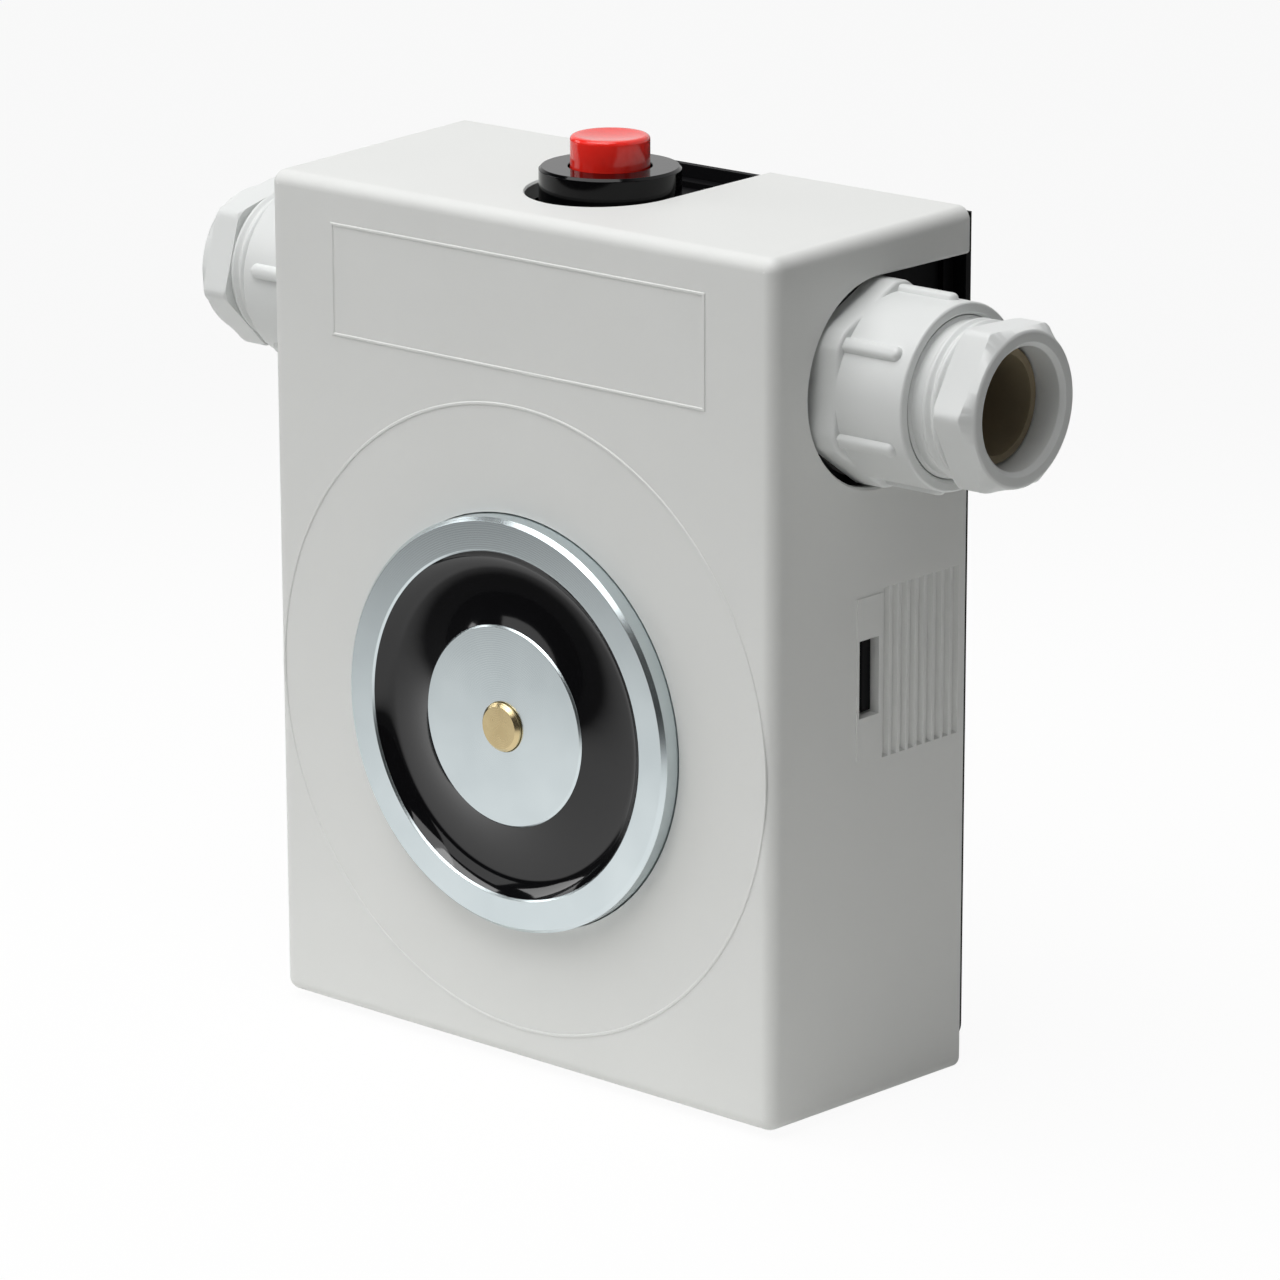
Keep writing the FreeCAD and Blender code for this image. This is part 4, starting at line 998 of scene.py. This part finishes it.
        radius = np.concatenate([neck[:, :1] * width, flange_rows, collar_rows, mouth[:, :1] * width])
        offset = np.concatenate([neck[:, 1], [self.flange_foot], edge, along, mouth[:, 1]])
        grid = self.axis.points(radius, offset[:, None], angle)
        return skin(f"gland_body_moulded_{self.side.word}", grid, closed_rows=True)

    def screw(self) -> bpy.types.Object:
        """Moulds the pressure screw: a right-hand thread, a six-sided head with soft edges, and its bore.

        Between collar and head the radius follows the thread: it rises and falls once per pitch, shifted by
        one pitch in a turn, and fades out at both ends. On the head it is the soft minimum of the six-sided
        outline and a lathe's line, which runs level and then slopes down to a rounded front edge.

        Returns:
            The new object.
        """
        angle = corner_angles(self.head_corner, spread=7.5, fine=20, coarse=15)
        shank_end = self.collar_end - self.shank_inset
        shank = np.array(
            [(self.bore, self.screw_tip), (self.thread, self.screw_tip), (self.thread, shank_end)]
        )
        along = np.linspace(self.collar_end - self.root_inset, self.head_start, num=48)
        root = self.thread - self.thread_depth
        phase = (along[:, None] - self.head_start) / self.pitch + self.side.value * angle / (2 * math.pi)
        ridge = (0.5 - 0.5 * np.cos(2 * math.pi * phase)) ** self.crest_power
        start = np.clip((along - self.collar_end - self.root_length) / self.run_in, 0, 1)
        end = np.clip((self.head_start - along) / self.run_out, 0, 1)
        thread_rows = root + self.thread_depth * ridge * (start * end)[:, None]
        bevel_start = self.head_end - self.head_bevel
        mouth = self.bore + self.lip
        ring = mouth + self.face_ring
        lathe = rounded(
            [
                (self.head_lathe - self.back_bevel, self.head_start, 0),
                (self.head_lathe, self.head_start + self.back_bevel, self.soft),
                (self.head_lathe, bevel_start, self.bevel_edge),
                (self.head_face, self.head_end, self.head_edge),
                (ring, self.head_end, 0),
            ],
            closed=False,
        )
        place = np.arange(len(lathe))
        # The face's last step is split in three, because the outline turns from six-sided to round there.
        steps = np.concatenate([place[:-1], np.linspace(place[-2], place[-1], num=4)[1:]])
        level = np.interp(steps, place, lathe[:, 0])
        head_offset = np.interp(steps, place, lathe[:, 1])
        head_rows = six_sided(self.head_flats, level[:, None], self.head_corner, angle)
        bore = rounded(
            [
                (ring, self.head_end, 0),
                (mouth, self.head_end, self.lip_edges[0]),
                (self.bore, self.head_end - self.lip, self.lip_edges[1]),
                (self.bore, self.screw_tip, 0),
            ],
            closed=False,
        )[1:-1]
        width = np.ones_like(angle)
        radius = np.concatenate([shank[:, :1] * width, thread_rows, head_rows, bore[:, :1] * width])
        offset = np.concatenate([shank[:, 1], along, head_offset, bore[:, 1]])
        grid = self.axis.points(radius, offset[:, None], angle)
        return skin(f"gland_screw_moulded_{self.side.word}", grid, closed_rows=True)

    def build(self) -> None:
        """Makes the body and the screw and dresses the pieces between and behind them."""
        hand = self.side.word
        settle(self.body(), Body.HOUSING, f"gland_body_{hand}", GLAND_POLYAMIDE)
        settle(self.screw(), Body.HOUSING, f"gland_screw_{hand}", GLAND_POLYAMIDE)
        dress(f"gland_nut_{hand}", GLAND_POLYAMIDE)
        dress(f"gland_ring_{hand}", GLAND_POLYAMIDE)
        dress(f"gland_seal_{hand}", SEAL_RUBBER)
        dress(f"gland_gasket_{hand}", GASKET_NEOPRENE)


@dataclass
class Wiring:
    """The terminal block and the leads behind the cover, which keep their CAD shapes."""

    def build(self) -> None:
        """Dresses the terminal block and the leads."""
        dress("terminal_block", BOBBIN_POLYAMIDE)
        dress("terminal_clamps", LUG_BRASS)
        dress("terminal_screws", ZINC_SCREWS)
        dress("terminal_fixings", ZINC_SCREWS)
        dress("coil_lead_left", LEAD_BLUE)
        for lead in ("coil_lead_right", "switch_lead_left", "switch_lead_right"):
            dress(lead, LEAD_RED)


# Studio


@dataclass(frozen=True)
class Softbox:
    """A soft lamp that looks at the object."""

    name: str  # The lamp's name.
    place: tuple[float, float, float]  # Where it hangs, in metres.
    width: float  # The side of its square, in metres.
    power: float  # Its power in watts.

    def build(self) -> None:
        """Hangs the lamp and turns it to the object's middle."""
        lamp = bpy.data.lights.new(self.name, "AREA")
        lamp.shape = "SQUARE"
        lamp.size, lamp.energy = self.width, self.power
        holder = enter(self.name, lamp)
        holder.location = self.place
        holder.rotation_euler = (-Vector(self.place)).to_track_quat("-Z", "Y").to_euler()


# Most of the light falls from overhead. The two in front and the left one fill in, and the right one is weak.
LAMPS = (
    Softbox("overhead", (-0.15, -0.25, 1.0), 0.8, 8.6),
    Softbox("high_front", (0.18, -0.7, 1.0), 0.6, 2.7),
    Softbox("front_left", (-0.55, -1.15, 0.75), 0.9, 2.6),
    Softbox("left", (-1.2, -0.45, 0.5), 0.6, 3.4),
    Softbox("right", (1.0, -0.4, 0.55), 0.6, 0.6),
)

WHITE = "#FFFFFF"
# Painted light in the floor's colour: painted shade far from the object, and a pale painted pool of light
# round it.
FLOOR_FAR_PAINTED_SHADE, FLOOR_NEAR_PAINTED_LIGHT = "#2E2E2D", "#F2F2F0"


@dataclass
class Studio:
    """The pale floor, the soft light and the camera."""

    floor_level: float = -57.5  # Height of the floor, in millimetres.
    floor_reach: float = 4.0  # Half the floor's width, in metres.
    floor_glow: float = 0.94  # Share of the floor's look that glows; the rest takes the shadow.
    # Painted light: a pool of light painted into the floor, in its colour and in its glow in shine.
    painted_pool: tuple[float, float] = (0.14, 0.4)  # Distances between which the pale pool fades, in metres.
    painted_pool_levels: tuple[float, float] = (1.0, 0.08)  # Brightness of the floor in the pool and beyond it.
    sweep: tuple[float, float] = (-0.05, 0.35)  # Directions, by their Y, between which the room turns bright.
    sweep_levels: tuple[float, float] = (0.04, 0.85)  # Brightness of the room in front and behind.
    fill: float = 0.06  # Brightness of the room as light.
    azimuth: float = 41.224  # The camera's direction round the object, in degrees from the front.
    elevation: float = 16.11  # The camera's height above the horizon, in degrees.
    roll: float = -0.16  # The camera's roll, in degrees.
    lens: float = 168.12  # Focal length on a 36 mm sensor.
    place: tuple[float, float, float] = (0.49775, -0.58197, 0.21357)  # The camera's place, in metres.

    def sight(self, tree: bpy.types.NodeTree) -> tuple[bpy.types.NodeSocket, bpy.types.NodeSocket]:
        """Tells what is looked at from what only gives light.

        Args:
            tree: The node tree that asks.

        Returns:
            A socket that is 1 to the eye, and one that is 1 to the eye, in shine and through glass.
        """
        path = add(tree, "LightPath").outputs
        eye = path["Is Camera Ray"]
        shine = add(tree, "Math", {0: eye, 1: path["Is Glossy Ray"]}, operation="MAXIMUM").outputs[0]
        seen = add(tree, "Math", {0: shine, 1: path["Is Transmission Ray"]}, operation="MAXIMUM")
        return eye, seen.outputs[0]

    def floor(self) -> None:
        """Lays the floor: white to the eye, with the object's shadow on it.

        In shine, and in the light that it throws back, it has a painted pool of light: pale round the object,
        falling off to painted shade further out.
        """
        made, tree = blank("floor_pale")
        eye, seen = self.sight(tree)
        share = add(tree, "Math", {0: seen, 1: self.floor_glow}, operation="MULTIPLY")
        away = add(tree, "VectorMath", {0: add(tree, "TexCoord").outputs["Object"]}, operation="LENGTH")
        near = {"Value": away.outputs["Value"]}
        near["From Min"], near["From Max"] = self.painted_pool
        near["To Min"], near["To Max"] = self.painted_pool_levels
        painted_pool = add(tree, "MapRange", near, interpolation_type="SMOOTHSTEP").outputs[0]
        # In shine the floor's glow follows the painted pool of light; to the eye it is evenly white.
        level = add(tree, "Math", {0: eye, 1: painted_pool}, operation="MAXIMUM")
        # Painted light: the floor's colour is pale in the pool and painted shade beyond it.
        ends = {MIX_SHARE: painted_pool, MIX_FROM: linear(FLOOR_FAR_PAINTED_SHADE), MIX_TO: linear(FLOOR_NEAR_PAINTED_LIGHT)}
        painted_pool_colour = add(tree, "Mix", ends, data_type="RGBA")
        matt = add(tree, "BsdfDiffuse", {"Color": painted_pool_colour.outputs[MIX_RESULT]})
        glow = add(tree, "Emission", {"Color": linear(WHITE), "Strength": level.outputs[0]})
        mix = add(tree, "MixShader", {0: share.outputs[0], 1: matt.outputs[0], 2: glow.outputs[0]})
        add(tree, "OutputMaterial", {"Surface": mix.outputs[0]})
        mesh = bpy.data.meshes.new("floor")
        reach, height = self.floor_reach, self.floor_level * MM
        ways = ((-1, -1), (1, -1), (1, 1), (-1, 1))
        mesh.from_pydata([(x * reach, y * reach, height) for x, y in ways], [], [(0, 1, 2, 3)])
        mesh.materials.append(made)
        floor = enter("floor", mesh)

    def world(self) -> None:
        """Sets a plain room: white to the eye, and a low fill as light.

        In shine it is bright behind the object and dim in front.
        """
        world = bpy.data.worlds.new("studio")
        bpy.context.scene.world = world
        world.use_nodes = True
        tree = world.node_tree
        tree.nodes.clear()
        eye, seen = self.sight(tree)
        way = add(tree, "SeparateXYZ", {0: add(tree, "TexCoord").outputs["Generated"]})
        behind = {"Value": way.outputs["Y"]}
        behind["From Min"], behind["From Max"] = self.sweep
        behind["To Min"], behind["To Max"] = self.sweep_levels
        sweep = add(tree, "MapRange", behind, interpolation_type="SMOOTHSTEP")
        level = add(tree, "Math", {0: eye, 1: sweep.outputs[0]}, operation="MAXIMUM")
        room = add(tree, "Background", {"Color": linear(WHITE), "Strength": level.outputs[0]})
        fill = add(tree, "Background", {"Color": linear(WHITE), "Strength": self.fill})
        mix = add(tree, "MixShader", {0: seen, 1: fill.outputs[0], 2: room.outputs[0]})
        add(tree, "OutputWorld", {"Surface": mix.outputs[0]})

    def camera(self) -> None:
        """Sets the camera as the photograph was taken, with no shift."""
        turn, lift, roll = (math.radians(value) for value in (self.azimuth, self.elevation, self.roll))
        back = Vector((math.sin(turn) * math.cos(lift), -math.cos(turn) * math.cos(lift), math.sin(lift)))
        across = Vector((0, 0, 1)).cross(back).normalized()
        up = back.cross(across)
        right = across * math.cos(roll) + up * math.sin(roll)
        top = up * math.cos(roll) - across * math.sin(roll)
        lens = bpy.data.cameras.new("camera")
        lens.lens, lens.sensor_width = self.lens, 36.0
        lens.clip_start, lens.clip_end = 0.01, 100.0
        holder = enter("camera", lens)
        matrix = Matrix((right, top, back)).transposed().to_4x4()
        matrix.translation = self.place
        holder.matrix_world = matrix
        bpy.context.scene.camera = holder

    def build(self) -> None:
        """Sets up the floor, the light, the camera and the plain view transform."""
        self.floor()
        self.world()
        for lamp in LAMPS:
            lamp.build()
        self.camera()
        bpy.context.scene.view_settings.view_transform = "Standard"


def main() -> None:
    """Builds every sub-assembly in order."""
    logging.basicConfig(level=logging.INFO, format="%(name)s: %(message)s")
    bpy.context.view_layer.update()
    glands = [CableGland(side, *turns) for side, turns in GLAND_TURNS.items()]
    for assembly in [Housing(), Magnet(), ReleaseButton(), *glands, Wiring(), Studio()]:
        assembly.build()
        log.info("%s is done", type(assembly).__name__)


if __name__ == "__main__":
    main()
